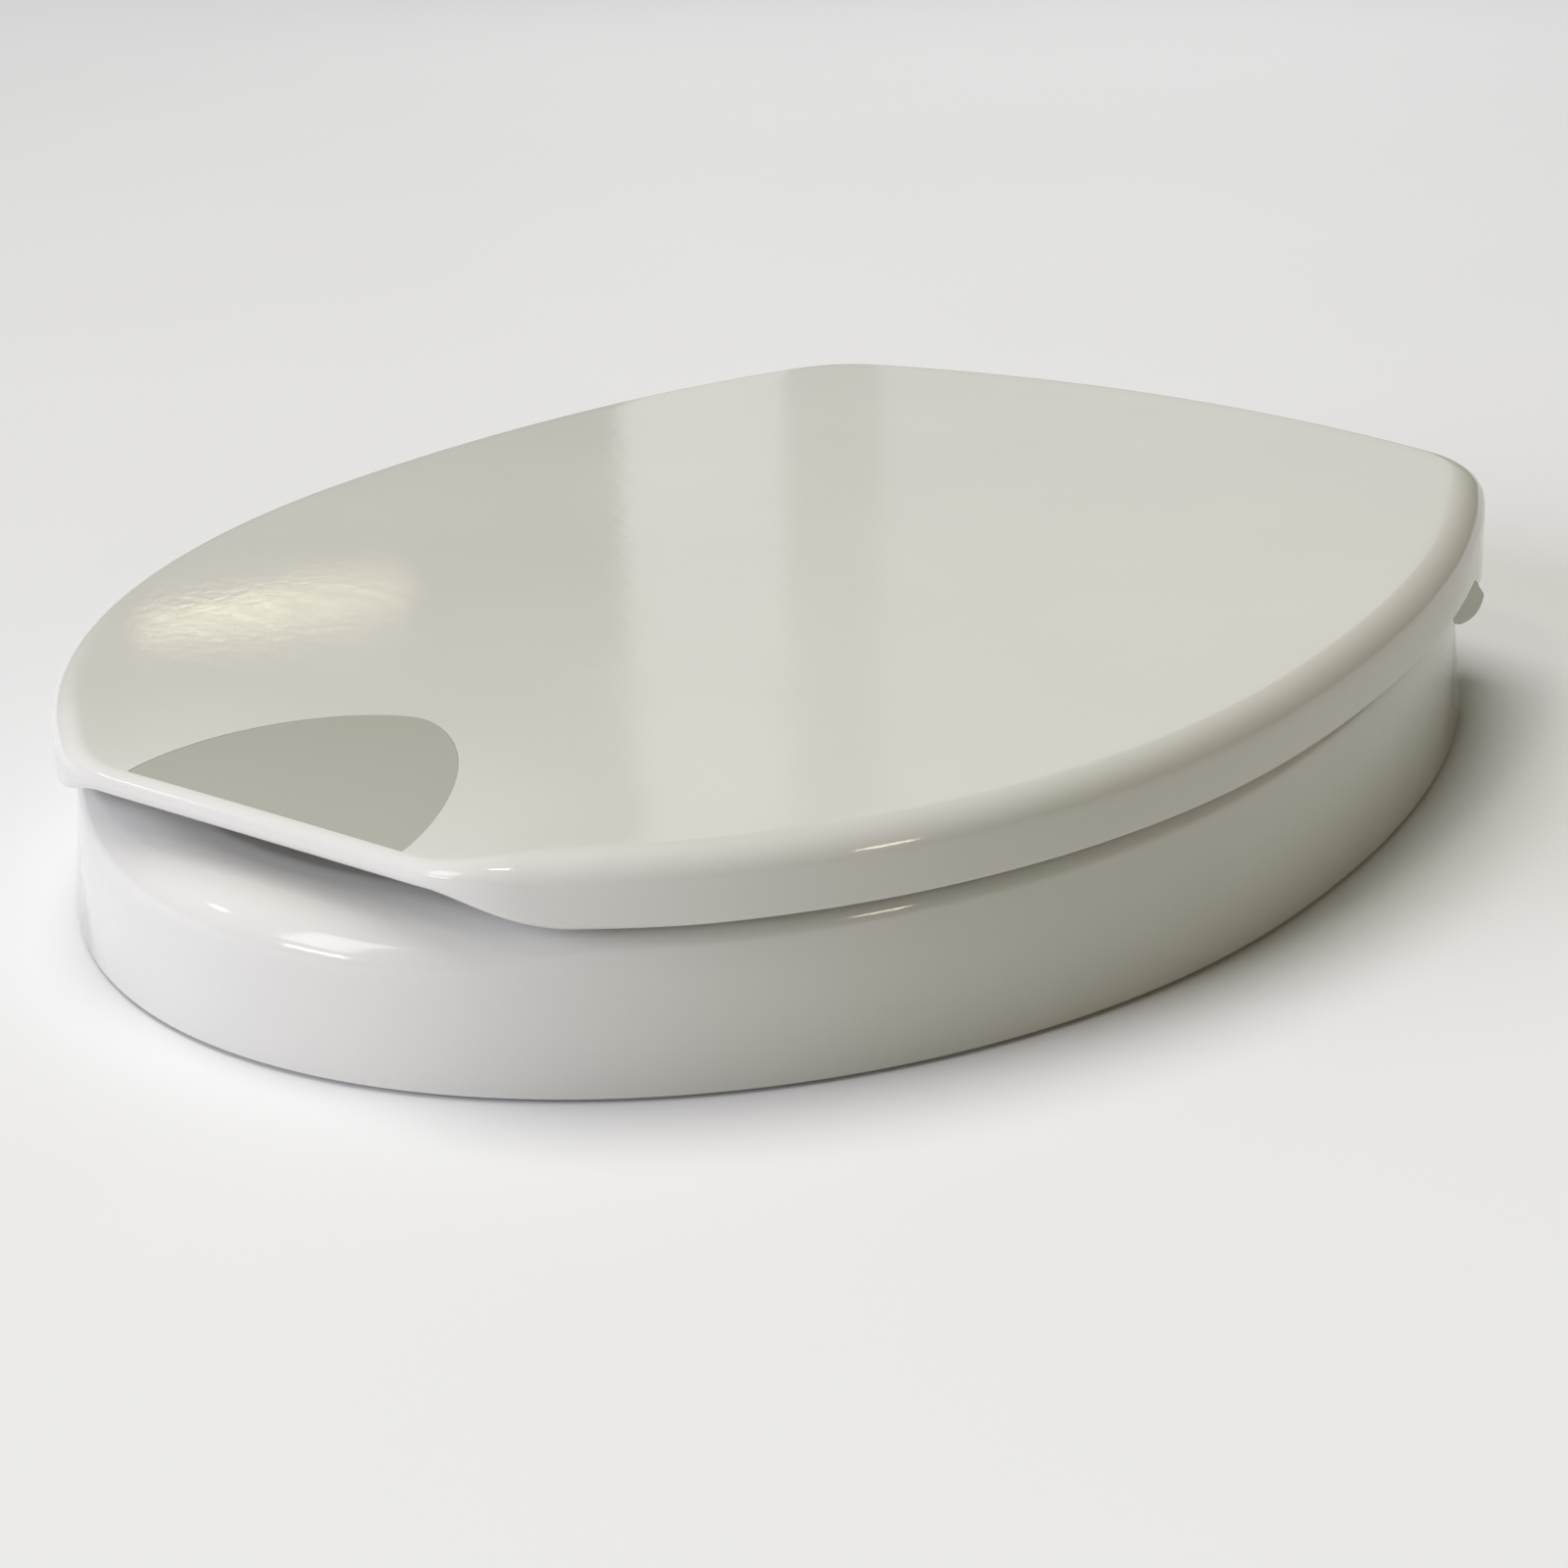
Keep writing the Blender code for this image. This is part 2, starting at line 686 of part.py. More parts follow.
def make_pan_fixings(parts, cutters, steel, rubber, shell):
    bore = BOLT_RADIUS + GAP
    floor = WELL_FLOOR_Z + GAP
    washer = (
        (WASHER_RADIUS, floor + WASHER_THICKNESS),
        (WASHER_RADIUS, floor),
        (bore, floor),
        (bore, floor + WASHER_THICKNESS),
    )
    cone = (
        (CONE_RADIUS, CONE_TOP_Z),
        (CONE_RADIUS, CONE_TOP_Z - 0.003),
        (CONE_RADIUS * 0.7, CONE_TOP_Z - CONE_HEIGHT),
        (bore, CONE_TOP_Z - CONE_HEIGHT),
        (bore, CONE_TOP_Z),
    )
    deck = sloped(RISER_TOP, 0.0) - CAP_SINK
    cap_radius = WELL_RADIUS - GAP
    cap = (
        (0.0, deck),
        (cap_radius - 0.0008, deck),
        (cap_radius, deck - 0.0008),
        (cap_radius, deck - CAP_DEPTH),
        (cap_radius - CAP_WALL, deck - CAP_DEPTH),
        (cap_radius - CAP_WALL, deck - CAP_WALL),
        (0.0, deck - CAP_WALL),
    )
    for side, sign in SIDES:
        x = sign * BOLT_SPACING / 2
        make_pan_bolt(f"pan_bolt_{side}", x, parts, cutters, steel)
        turned_ring(f"bolt_washer_{side}", washer, (x, 0, 0), parts, steel)
        turned(f"bolt_cap_{side}", cap, (x, 0, 0), parts, shell)
        turned_ring(f"cone_washer_{side}", cone, (x, 0, 0), parts, rubber)
        make_wing_nut(f"wing_nut_{side}", x, parts, cutters, shell)


# ---------------------------------------------------------------- lid group


def inlay_outline(margin, count=18):
    """Parabola-like outline with its straight side along the lip."""
    half_width = INLAY_HALF_WIDTH + margin
    depth = INLAY_REAR_Y - INLAY_FRONT_Y + 2 * margin
    points = []
    for i in range(count + 1):
        angle = math.pi * i / count
        c = math.cos(angle)
        x = half_width * math.copysign(abs(c) ** (2 / INLAY_POWER), c)
        y = INLAY_FRONT_Y - margin + depth * math.sin(angle) ** (2 / INLAY_POWER)
        points.append(Vector((x, y)))
    return points


def inlay_solid(name, margin, above, below, collection, colour=None):
    """Plate that follows the lid's upper surface between two offsets from it."""
    arc = inlay_outline(margin)
    front = arc[0].y
    rows = []
    for share in (1.0, 0.66, 0.33, 0.0):
        rows.append([Vector((p.x, front + (p.y - front) * share)) for p in arc[1:-1]])
    bm = bmesh.new()
    layers = []
    for offset in (above, below):
        tips = [bm.verts.new((p.x, p.y, lid_top(p.x, p.y) + offset)) for p in (arc[0], arc[-1])]
        grid = [[bm.verts.new((p.x, p.y, lid_top(p.x, p.y) + offset)) for p in row] for row in rows]
        layers.append((grid, tips))
        for a, b in zip(grid, grid[1:]):
            for i in range(len(a) - 1):
                bm.faces.new((a[i], a[i + 1], b[i + 1], b[i]))
            bm.faces.new((a[0], b[0], tips[0]))
            bm.faces.new((a[-1], b[-1], tips[1]))
    borders = []
    for grid, tips in layers:
        borders.append([tips[0], *grid[0], tips[1], *reversed(grid[-1])])
    count = len(borders[0])
    for i in range(count):
        k = (i + 1) % count
        bm.faces.new((borders[0][i], borders[0][k], borders[1][k], borders[1][i]))
    return mesh_object(name, bm, collection, colour)


def ear_point(turn):
    """Point of the ear's rounded square outline, as (y, z)."""
    c = math.cos(turn)
    s = math.sin(turn)
    reach = (abs(c) ** EAR_POWER + abs(s) ** EAR_POWER) ** (-1.0 / EAR_POWER)
    return Vector((EAR_Y + EAR_RADIUS * reach * c, EAR_Z + EAR_RADIUS * reach * s))


def ear_outline():
    """Rounded ear below, straight web up into the lid's roof."""
    turns = [math.radians(-230 + 202 * i / 20) for i in range(21)]
    points = [ear_point(t) for t in turns]
    roof = sloped(LID_EDGE_TOP, EAR_Y) - LID_WALL / 2
    points.append(Vector((EAR_WEB_Y, EAR_WEB_Z)))
    points.append(Vector((EAR_WEB_Y, EAR_SLOPE_Z)))
    points.append(Vector((EAR_ROOF_Y, roof)))
    points.append(Vector((points[0].x, roof)))
    return points


def make_ear(side, sign, pivot, lid, cutters):
    bm = bmesh.new()
    inner = sign * EAR_INNER_X
    outer = sign * EAR_OUTER_X
    near = [bm.verts.new((inner, p.x, p.y)) for p in ear_outline()]
    far = [bm.verts.new((outer, p.x, p.y)) for p in ear_outline()]
    bm.faces.new(near)
    bm.faces.new(list(reversed(far)))
    for i in range(len(near)):
        k = (i + 1) % len(near)
        bm.faces.new((near[i], far[i], far[k], near[k]))
    ear = mesh_object(f"ear_{side}", bm, cutters)
    socket_end = sign * (EAR_INNER_X + BUSH_DEPTH + GAP)
    socket = cylinder(
        f"bush_socket_{side}",
        BUSH_RADIUS + GAP,
        (sign * (EAR_INNER_X - 0.01), AXIS_Y, AXIS_Z),
        (socket_end, AXIS_Y, AXIS_Z),
        cutters,
    )
    for cutter, operation in ((ear, "UNION"), (socket, "DIFFERENCE")):
        hang_on(cutter, pivot)
        combine(lid, cutter, operation)


def make_hinge(side, sign, pivot, parts, steel, nylon):
    """Pin pushed out through the knuckle into the bush in the lid's ear."""
    head_end = KNUCKLE_INNER_X - GAP
    tip = EAR_INNER_X + BUSH_DEPTH - GAP
    pin = turned(
        f"hinge_pin_{side}",
        (
            (0.0, tip),
            (PIN_RADIUS - 0.0005, tip),
            (PIN_RADIUS, tip - 0.0005),
            (PIN_RADIUS, head_end),
            (PIN_HEAD_RADIUS, head_end),
            (PIN_HEAD_RADIUS, head_end - PIN_HEAD_LENGTH),
            (0.0, head_end - PIN_HEAD_LENGTH),
        ),
        (0.0, AXIS_Y, AXIS_Z),
        parts,
        steel,
        sides=16,
    )
    pin.rotation_euler = (0.0, sign * math.pi / 2, 0.0)
    low = EAR_INNER_X + 0.0002
    high = EAR_INNER_X + BUSH_DEPTH
    bush = turned_ring(
        f"hinge_bush_{side}",
        (
            (BUSH_RADIUS, high),
            (BUSH_RADIUS, low),
            (PIN_RADIUS + GAP, low),
            (PIN_RADIUS + GAP, high),
        ),
        (0.0, AXIS_Y, AXIS_Z),
        parts,
        nylon,
    )
    bush.rotation_euler = (0.0, sign * math.pi / 2, 0.0)
    hang_on(bush, pivot)


def make_buffers(pivot, parts, rubber):
    index = 0
    for x, y in BUFFER_POINTS:
        for sign in (-1, 1):
            index += 1
            low = sloped(RISER_TOP, y) + GAP
            high = lid_top(x, y) - LID_WALL - 3 * GAP
            profile = (
                (0.0, high),
                (BUFFER_RADIUS, high),
                (BUFFER_RADIUS * 0.75, low + 0.002),
                (BUFFER_RADIUS * 0.6, low),
                (0.0, low),
            )
            buffer = turned(f"lid_buffer_{index}", profile, (sign * x, y, 0.0), parts, rubber, sides=20)
            hang_on(buffer, pivot)


def make_lid(pivot, parts, cutters, shell, grey, steel, nylon, rubber):
    rows, tip = lid_rows()
    lid = mesh_object("lid_shell", loft(rows, tip), parts, shell)
    solidify(lid, LID_WALL)
    hang_on(lid, pivot)
    for side, sign in SIDES:
        make_ear(side, sign, pivot, lid, cutters)
        make_hinge(side, sign, pivot, parts, steel, nylon)
    pocket = inlay_solid("inlay_pocket", GAP, 0.004, -INLAY_POCKET, cutters)
    hang_on(pocket, pivot)
    combine(lid, pocket, "DIFFERENCE")
    inlay = inlay_solid("grip_inlay", 0.0, -0.0001, -0.0001 - INLAY_THICKNESS, parts, grey)
    hang_on(inlay, pivot)
    make_buffers(pivot, parts, rubber)


def main():
    clear_scene()
    parts = new_collection(COLLECTION)
    cutters = new_collection("cutters")
    shell = material("glossy_warm_white", SHELL_COLOUR, 0.25)
    grey = material("grey_insert", INLAY_COLOUR, 0.35)
    steel = material("stainless_steel", (0.62, 0.62, 0.63), 0.3, 1.0)
    rubber = material("grey_rubber", (0.16, 0.16, 0.17), 0.7)
    nylon = material("white_nylon", (0.8, 0.8, 0.78), 0.45)
    pivot = bpy.data.objects.new("lid_axis", None)
    pivot.location = (0.0, AXIS_Y, AXIS_Z)
    parts.objects.link(pivot)
    make_riser(parts, cutters, shell)
    make_base_plate(parts, shell)
    make_base_screws(parts, steel)
    make_rim_pads(parts, rubber)
    make_pan_fixings(parts, cutters, steel, rubber, shell)
    make_lid(pivot, parts, cutters, shell, grey, steel, nylon, rubber)


main()
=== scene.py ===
"""Looks of the raised toilet seat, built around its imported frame.

The riser ring, the lid and the grey insert are fine meshes that stand for the frame's faceted solids.
They follow the same plan curves and sections, in metres, in the frame's own coordinates.
"""

import math

import bmesh
import bpy
from mathutils import Matrix, Vector


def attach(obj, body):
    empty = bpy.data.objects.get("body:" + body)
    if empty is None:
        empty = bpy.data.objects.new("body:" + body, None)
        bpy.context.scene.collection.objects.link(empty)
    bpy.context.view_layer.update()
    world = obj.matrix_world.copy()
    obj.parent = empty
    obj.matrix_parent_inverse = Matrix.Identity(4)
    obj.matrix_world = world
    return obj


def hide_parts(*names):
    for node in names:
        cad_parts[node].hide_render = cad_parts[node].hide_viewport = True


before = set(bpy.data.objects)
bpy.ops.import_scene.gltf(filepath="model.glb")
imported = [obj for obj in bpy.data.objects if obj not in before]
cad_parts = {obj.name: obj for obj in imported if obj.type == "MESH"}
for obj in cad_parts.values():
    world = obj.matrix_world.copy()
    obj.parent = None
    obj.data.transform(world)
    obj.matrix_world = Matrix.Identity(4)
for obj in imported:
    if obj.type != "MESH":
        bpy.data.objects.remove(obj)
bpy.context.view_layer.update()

GAP = 0.0003
SIDES = (-1, 1)

# Plan of both mouldings, as in the frame.
WIDEST_Y = -0.172
TOP_SLOPE = 0.0126
LID_HALF_WIDTH = 0.185
LID_NOSE = 0.2266
LID_TAIL = 0.3065
LID_REAR_Y = 0.0471
LID_REAR_BOW = 0.0158
LID_BOW_HALF = 0.12
LID_CORNER = 0.0214
LIP_Y = -0.3825
LIP_ROUND = 0.016
RISER_HALF_WIDTH = 0.1837
RISER_NOSE = 0.2246
RISER_TAIL = 0.2921
RISER_REAR_Y = 0.0236
RISER_CORNER = 0.026
CORNER_REACH = 1.35
CORNER_DENSITY = 0.06
STATIONS = 420
CURVE_STEPS = 400
LIP_STEPS = 20
LIP_ROUND_STEPS = 50
TAIL_STEPS = 299
REAR_STEPS = 100
ROUND_STEPS = 60
FINE_STEPS = 14
ROD_SIDES = 48
SMOOTH_ROD_SIDES = 64
POCKET_SIDES = 96
HOLE_SIDES = 24

# Riser section.
RISER_FOOT_Z = 0.0008
RISER_FOOT_ROUND = 0.0008
RISER_TOP = 0.0487
RISER_TAPER = 0.0945
RISER_EDGE = 0.008
RISER_EDGE_REACH = 0.009
FRONT_EDGE = 0.0165
FRONT_EDGE_REACH = 0.021
FRONT_EDGE_START = -0.362
FRONT_EDGE_FADE = 0.028
RISER_WALL = 0.0045
OPENING_Y = -0.1995
OPENING_HALF_LENGTH = 0.1375
OPENING_HALF_WIDTH = 0.110
OPENING_POWER = 2.2
OPENING_EDGE = 0.009
SEAT_DISH = 0.0015
SEAT_STEPS = 14
CEILING_STEPS = 6

# Lid section.
LID_EDGE_TOP = 0.0689
LID_SEAM = 0.0497
LID_WALL = 0.0038
LID_EDGE = 0.009
LID_CROWN = 0.002
LID_INNER_ROUND = 0.0012
PANEL_ROWS = 24
PANEL_SPREAD = 1.15
LID_RIM_ROUND = 0.0008
LIP_RIM_ROUND = 0.0026
LIP_RIM_HALF = 0.092
LIP_RIM_FADE = 0.030
LIP_EDGE = 0.0040
LIP_EDGE_FADE = 0.035
LIP_DIP = 0.0033
LIP_DIP_HALF = 0.050
LIP_DIP_START = -0.147
LIP_DIP_LENGTH = 0.0545
LIP_RAISE = 0.0083
LIP_FLAT_HALF = 0.058
LIP_END_HALF = 0.094
EAR_SKIRT_Z = 0.0415
EAR_SKIRT_START = 0.150
EAR_SKIRT_FADE = 0.035
REAR_SKIRT_Z = 0.056
REAR_SKIRT_START = 0.190
REAR_SKIRT_HALF = 0.140
REAR_SKIRT_FADE = 0.010

# Hinge and fixings.
AXIS_Y = 0.0285
AXIS_Z = 0.038
EAR_Y = 0.028
EAR_Z = 0.034
EAR_RADIUS = 0.013
EAR_POWER = 2.7
EAR_INNER_X = 0.1295
EAR_OUTER_X = 0.136
EAR_RIM_ROUND = 0.0009
EAR_STEPS = 40
EAR_FIRST_ANGLE = -230
EAR_SWEEP = 202
KNUCKLE_RADIUS = 0.0085
KNUCKLE_INNER_X = 0.104
KNUCKLE_OUTER_X = 0.1289
KNUCKLE_ROUND = 0.0008
BLOCK_OUTER_X = 0.1285
BLOCK_FRONT_Y = -0.008
BLOCK_REAR_Y = 0.0208
FIXING_FLOOR_Z = 0.0065
DECK_DEPTH = 0.003
EAR_WEB_Y = 0.0345
EAR_WEB_Z = 0.0308
EAR_SLOPE_Z = 0.050
EAR_ROOF_Y = 0.0245
POCKET_RADIUS = 0.0184
POCKET_START_X = 0.1290
POCKET_END_X = 0.165
BORE_START_X = 0.100
BORE_END_X = 0.135
PIN_RADIUS = 0.0025
BUSH_RADIUS = 0.004
BUSH_DEPTH = 0.0048
BUSH_ENTRY = 0.010
BOLT_SPACING = 0.155
BOLT_RADIUS = 0.004
BOLT_CLEARANCE = 0.0005
TOWER_RADIUS = 0.0145
WELL_RADIUS = 0.0108
WELL_FLOOR_Z = 0.022
WELL_TOP_Z = 0.070
HOLE_BOTTOM_Z = -0.010
HOLE_TOP_Z = 0.030

# Grey insert.
INLAY_HALF_WIDTH = 0.0496
INLAY_FRONT_Y = -0.3787
INLAY_REAR_Y = -0.318
INLAY_POWER = 1.6
INLAY_SINK = 0.00008
INLAY_THICKNESS = 0.0013
INLAY_POCKET = 0.0016
INLAY_MARGIN = 0.00012
INLAY_CUT_TOP = 0.004
INLAY_ROWS = 12
INLAY_STEPS = 96

# Camera, in the frame's coordinates.
CAMERA_AT = (0.5802, -0.9021, 0.3686)
CAMERA_YAW = 38.1163
CAMERA_PITCH = -21.5269
CAMERA_ROLL = -1.8841
CAMERA_LENS = 74.757

# Shading.
SHARP_ANGLE = 35
NOISE_ROUGHNESS = 0.55

# Stage and lights.
FLOOR_HALF = 12.0
FLOOR_DROP = 0.0002
FLOOR_HOLE_RADIUS = 0.007
SUN_SPREAD = 40
CARD_AWAY = 2.7
CARD_LOW = 0.20
CARD_HIGH = 1.60
WHITE = (1.0, 1.0, 1.0)
COOL_WHITE = (0.94, 0.96, 1.0)
WORLD_FILL = (0.128, 0.119, 0.084)
BACKDROP = (0.78, 0.775, 0.765)


# ---------------------------------------------------------------- plan outlines


def smooth_step(t):
    t = min(1.0, max(0.0, t))
    return t * t * (3 - 2 * t)


def sloped(height, y):
    return height + TOP_SLOPE * (y - WIDEST_Y)


def ellipse_x(y, half_width, length):
    return half_width * math.sqrt(max(0.0, 1.0 - ((y - WIDEST_Y) / length) ** 2))


def arc_between(start, corner, end, steps):
    """Quadratic curve that rounds the corner between two tangent points."""
    points = []
    for i in range(1, steps):
        t = i / steps
        points.append(start * (1 - t) ** 2 + corner * 2 * t * (1 - t) + end * t * t)
    return points


def front_points(half_width, nose, lip_y):
    """Right half of the front, from the middle to the widest line."""
    points = []
    first = 0.5 * math.pi
    if lip_y is not None:
        cut = (WIDEST_Y - lip_y) / nose
        end_x = half_width * math.sqrt(1.0 - cut * cut) + LIP_ROUND
        first = math.acos(end_x / half_width)
        end = Vector((end_x, WIDEST_Y - nose * math.sin(first)))
        slope = (nose / half_width) * math.cos(first) / math.sin(first)
        corner = Vector((end_x - (end.y - lip_y) / slope, lip_y))
        start = Vector((corner.x - LIP_ROUND, lip_y))
        points = [Vector((start.x * i / LIP_STEPS, lip_y)) for i in range(LIP_STEPS + 1)]
        points += arc_between(start, corner, end, LIP_ROUND_STEPS)
    for i in range(CURVE_STEPS + 1):
        angle = first * (1 - i / CURVE_STEPS)
        points.append(Vector((half_width * math.cos(angle), WIDEST_Y - nose * math.sin(angle))))
    return points


def tail_points(half_width, tail, rear_y, bow, corner):
    """Right half of the tail, from the widest line to the middle of the rear edge."""
    side_end = rear_y - corner
    points = []
    for i in range(1, TAIL_STEPS + 1):
        y = WIDEST_Y + (side_end - WIDEST_Y) * i / TAIL_STEPS
        points.append(Vector((ellipse_x(y, half_width, tail), y)))
    start = points[-1]
    lean = (half_width / tail) ** 2 * (start.y - WIDEST_Y) / start.x
    end_x = start.x - CORNER_REACH * corner
    end = Vector((end_x, rear_y + bow * (1 - (end_x / LID_BOW_HALF) ** 2)))
    rise = -2 * bow * end_x / LID_BOW_HALF**2
    y = (end.y + rise * (start.x + lean * start.y - end_x)) / (1 + rise * lean)
    points += arc_between(start, Vector((start.x - lean * (y - start.y), y)), end, ROUND_STEPS)
    for i in range(REAR_STEPS + 1):
        x = end_x * (1 - i / REAR_STEPS)
        points.append(Vector((x, rear_y + bow * (1 - (x / LID_BOW_HALF) ** 2))))
    return points


def turn_at(points, i):
    before = points[i] - points[i - 1]
    after = points[i + 1] - points[i]
    if min(before.length, after.length) < 1e-7:
        return 0.0
    return abs(before.angle_signed(after, 0.0))


def resample(points, count):
    """Spread count + 1 points along the line, closer together where it turns."""
    reach = [0.0]
    for i in range(1, len(points)):
        turn = turn_at(points, i) if i + 1 < len(points) else 0.0
        reach.append(reach[-1] + (points[i] - points[i - 1]).length + CORNER_DENSITY * turn)
    spread = []
    i = 0
    for k in range(count + 1):
        target = reach[-1] * k / count
        while i + 2 < len(points) and reach[i + 1] < target:
            i += 1
        t = (target - reach[i]) / (reach[i + 1] - reach[i])
        spread.append(points[i].lerp(points[i + 1], min(1.0, max(0.0, t))))
    return spread


def close_outline(half):
    """Mirror a right half into a closed outline that runs anticlockwise seen from above."""
    return half + [Vector((-p.x, p.y)) for p in reversed(half[1:-1])]


def inward_normals(outline):
    normals = []
    count = len(outline)
    for i in range(count):
        along = outline[(i + 1) % count] - outline[i - 1]
        normals.append(Vector((-along.y, along.x)).normalized())
    return normals


def lid_outline():
    half = front_points(LID_HALF_WIDTH, LID_NOSE, LIP_Y)
    half += tail_points(LID_HALF_WIDTH, LID_TAIL, LID_REAR_Y, LID_REAR_BOW, LID_CORNER)
    return close_outline(resample(half, STATIONS // 2))


def riser_outline():
    half = front_points(RISER_HALF_WIDTH, RISER_NOSE, None)
    half += tail_points(RISER_HALF_WIDTH, RISER_TAIL, RISER_REAR_Y, 0.0, RISER_CORNER)
    return close_outline(resample(half, STATIONS // 2))


def opening_point(angle, margin=0.0):
    """Point of the seat's opening at an angle about its centre."""
    c = math.cos(angle)
    s = math.sin(angle)
    wide = abs(c / (OPENING_HALF_WIDTH + margin)) ** OPENING_POWER
    long = abs(s / (OPENING_HALF_LENGTH + margin)) ** OPENING_POWER
    radius = (wide + long) ** (-1.0 / OPENING_POWER)
    return Vector((radius * c, OPENING_Y + radius * s))


# ---------------------------------------------------------------- sections


def lid_top(x, y):
    """Height of the lid's upper surface."""
    length = LID_NOSE if y < WIDEST_Y else LID_TAIL
    reach = (x / LID_HALF_WIDTH) ** 2 + ((y - WIDEST_Y) / length) ** 2
    crown = LID_CROWN * max(0.0, 1.0 - reach)
    depth = max(0.0, LIP_DIP_START - (y - WIDEST_Y)) / LIP_DIP_LENGTH
    fade = 1.0 - smooth_step((abs(x) - LIP_DIP_HALF) / LIP_DIP_HALF)
    return sloped(LID_EDGE_TOP, y) + crown - LIP_DIP * depth * depth * fade


def lid_bottom(point):
    """Height of the skirt's lower edge: raised over the lip, lower at the ears, high at the rear."""
    seam = sloped(LID_SEAM, point.y)
    beyond = point.y - WIDEST_Y
    if beyond < 0:
        span = LIP_END_HALF - LIP_FLAT_HALF
        return seam + LIP_RAISE * (1 - smooth_step((abs(point.x) - LIP_FLAT_HALF) / span))
    ear = smooth_step((beyond - EAR_SKIRT_START) / EAR_SKIRT_FADE)
    low = seam + (EAR_SKIRT_Z - seam) * ear
    if beyond < REAR_SKIRT_START:
        return low
    rear = smooth_step((REAR_SKIRT_HALF - abs(point.x)) / REAR_SKIRT_FADE)
    return low + (REAR_SKIRT_Z - low) * rear


def fillet_angles(count):
    return [0.5 * math.pi * i / count for i in range(count + 1)]


def lid_rounds(point):
    """Radius of the lid's upper edge and of its outer lower rim, which differ at the lip."""
    front = point.y < WIDEST_Y
    lip = (1 - smooth_step((abs(point.x) - LIP_FLAT_HALF) / LIP_EDGE_FADE)) * front
    bead = (1 - smooth_step((abs(point.x) - LIP_RIM_HALF) / LIP_RIM_FADE)) * front
    edge = LID_EDGE + (LIP_EDGE - LID_EDGE) * lip
    return edge, LID_RIM_ROUND + (LIP_RIM_ROUND - LID_RIM_ROUND) * bead


def lid_section(point, normal):
    """Points from the inner roof's edge, down the inside, under the rim and up the outside."""
    edge, rim = lid_rounds(point)
    inner = max(edge - LID_WALL, LID_INNER_ROUND)
    bottom = lid_bottom(point)
    points = []
    for angle in reversed(fillet_angles(6)):
        spot = point + normal * (LID_WALL + inner * (1 - math.cos(angle)))
        roof = lid_top(spot.x, spot.y) - LID_WALL
        points.append((spot, roof - inner * (1 - math.sin(angle))))
    for angle in fillet_angles(3):
        spot = point + normal * (LID_WALL - LID_RIM_ROUND * (1 - math.cos(angle)))
        points.append((spot, bottom + LID_RIM_ROUND * (1 - math.sin(angle))))
    for angle in reversed(fillet_angles(6)):
        spot = point + normal * rim * (1 - math.cos(angle))
        points.append((spot, bottom + rim * (1 - math.sin(angle))))
    for angle in fillet_angles(12):
        spot = point + normal * edge * (1 - math.cos(angle))
        points.append((spot, lid_top(spot.x, spot.y) - edge * (1 - math.sin(angle))))
    return points


def loft(rows, close_rows=False):
    """Quads between closed rows of points, as a bmesh and its rows of vertices."""
    bm = bmesh.new()
    made = [[bm.verts.new(p) for p in row] for row in rows]
    count = len(rows[0])
    pairs = list(zip(made, made[1:]))
    if close_rows:
        pairs.append((made[-1], made[0]))
    for lower, upper in pairs:
        for i in range(count):
            k = (i + 1) % count
            bm.faces.new((lower[i], lower[k], upper[k], upper[i]))
    return bm, made


def close_with_tip(bm, row, tip):
    apex = bm.verts.new(tip)
    for i, vertex in enumerate(row):
        bm.faces.new((vertex, row[(i + 1) % len(row)], apex))


def panel_rows(edge_row, height):
    """Rows from an edge row towards the middle of the lid, at the height of a surface."""
    centre = Vector((0.0, WIDEST_Y))
    rows = []
    for i in range(1, PANEL_ROWS):
        share = (i / PANEL_ROWS) ** PANEL_SPREAD
        row = []
        for edge_point in edge_row:
            spot = Vector((edge_point.x, edge_point.y)).lerp(centre, share)
            row.append(Vector((spot.x, spot.y, height(spot))))
        rows.append(row)
    return rows


def lid_mesh():
    outline = lid_outline()
    sections = [lid_section(p, n) for p, n in zip(outline, inward_normals(outline))]
    band = [[Vector((*spot, z)) for spot, z in level] for level in zip(*sections)]
    roof = panel_rows(band[0], lambda spot: lid_top(spot.x, spot.y) - LID_WALL)
    top = panel_rows(band[-1], lambda spot: lid_top(spot.x, spot.y))
    bm, made = loft([*reversed(roof), *band, *top])
    middle = lid_top(0.0, WIDEST_Y)
    close_with_tip(bm, made[0], (0.0, WIDEST_Y, middle - LID_WALL))
    close_with_tip(bm, made[-1], (0.0, WIDEST_Y, middle))
    return bm


def riser_edge(y):
    """Height and reach of the ring's rounded shoulder, which is wider at the front."""
    front = smooth_step((FRONT_EDGE_START - y) / FRONT_EDGE_FADE)
    height = RISER_EDGE + (FRONT_EDGE - RISER_EDGE) * front
    return height, RISER_EDGE_REACH + (FRONT_EDGE_REACH - RISER_EDGE_REACH) * front


def riser_outside(point, normal, edge, reach):
    """Points up the ring's outer wall, from its foot over the rounded shoulder."""
    shoulder = sloped(RISER_TOP, point.y) - edge
    points = []
    for turn in reversed(fillet_angles(2)):
        inset = RISER_TAPER * RISER_FOOT_Z + RISER_FOOT_ROUND * (1 - math.cos(turn))
        points.append((point + normal * inset, RISER_FOOT_Z + RISER_FOOT_ROUND * (1 - math.sin(turn))))
    for turn in fillet_angles(FINE_STEPS):
        inset = RISER_TAPER * shoulder + reach * (1 - math.cos(turn))
        points.append((point + normal * inset, shoulder + edge * math.sin(turn)))
    return points


def dished(start, end, steps, depth):
    """Points between two spots of the seat at a depth below it, hollowed a little in the middle."""
    points = []
    for i in range(1, steps):
        spot = start.lerp(end, i / steps)
        dish = SEAT_DISH * math.sin(math.pi * i / steps) ** 2
        points.append((spot, sloped(RISER_TOP, spot.y) - depth - dish))
    return points


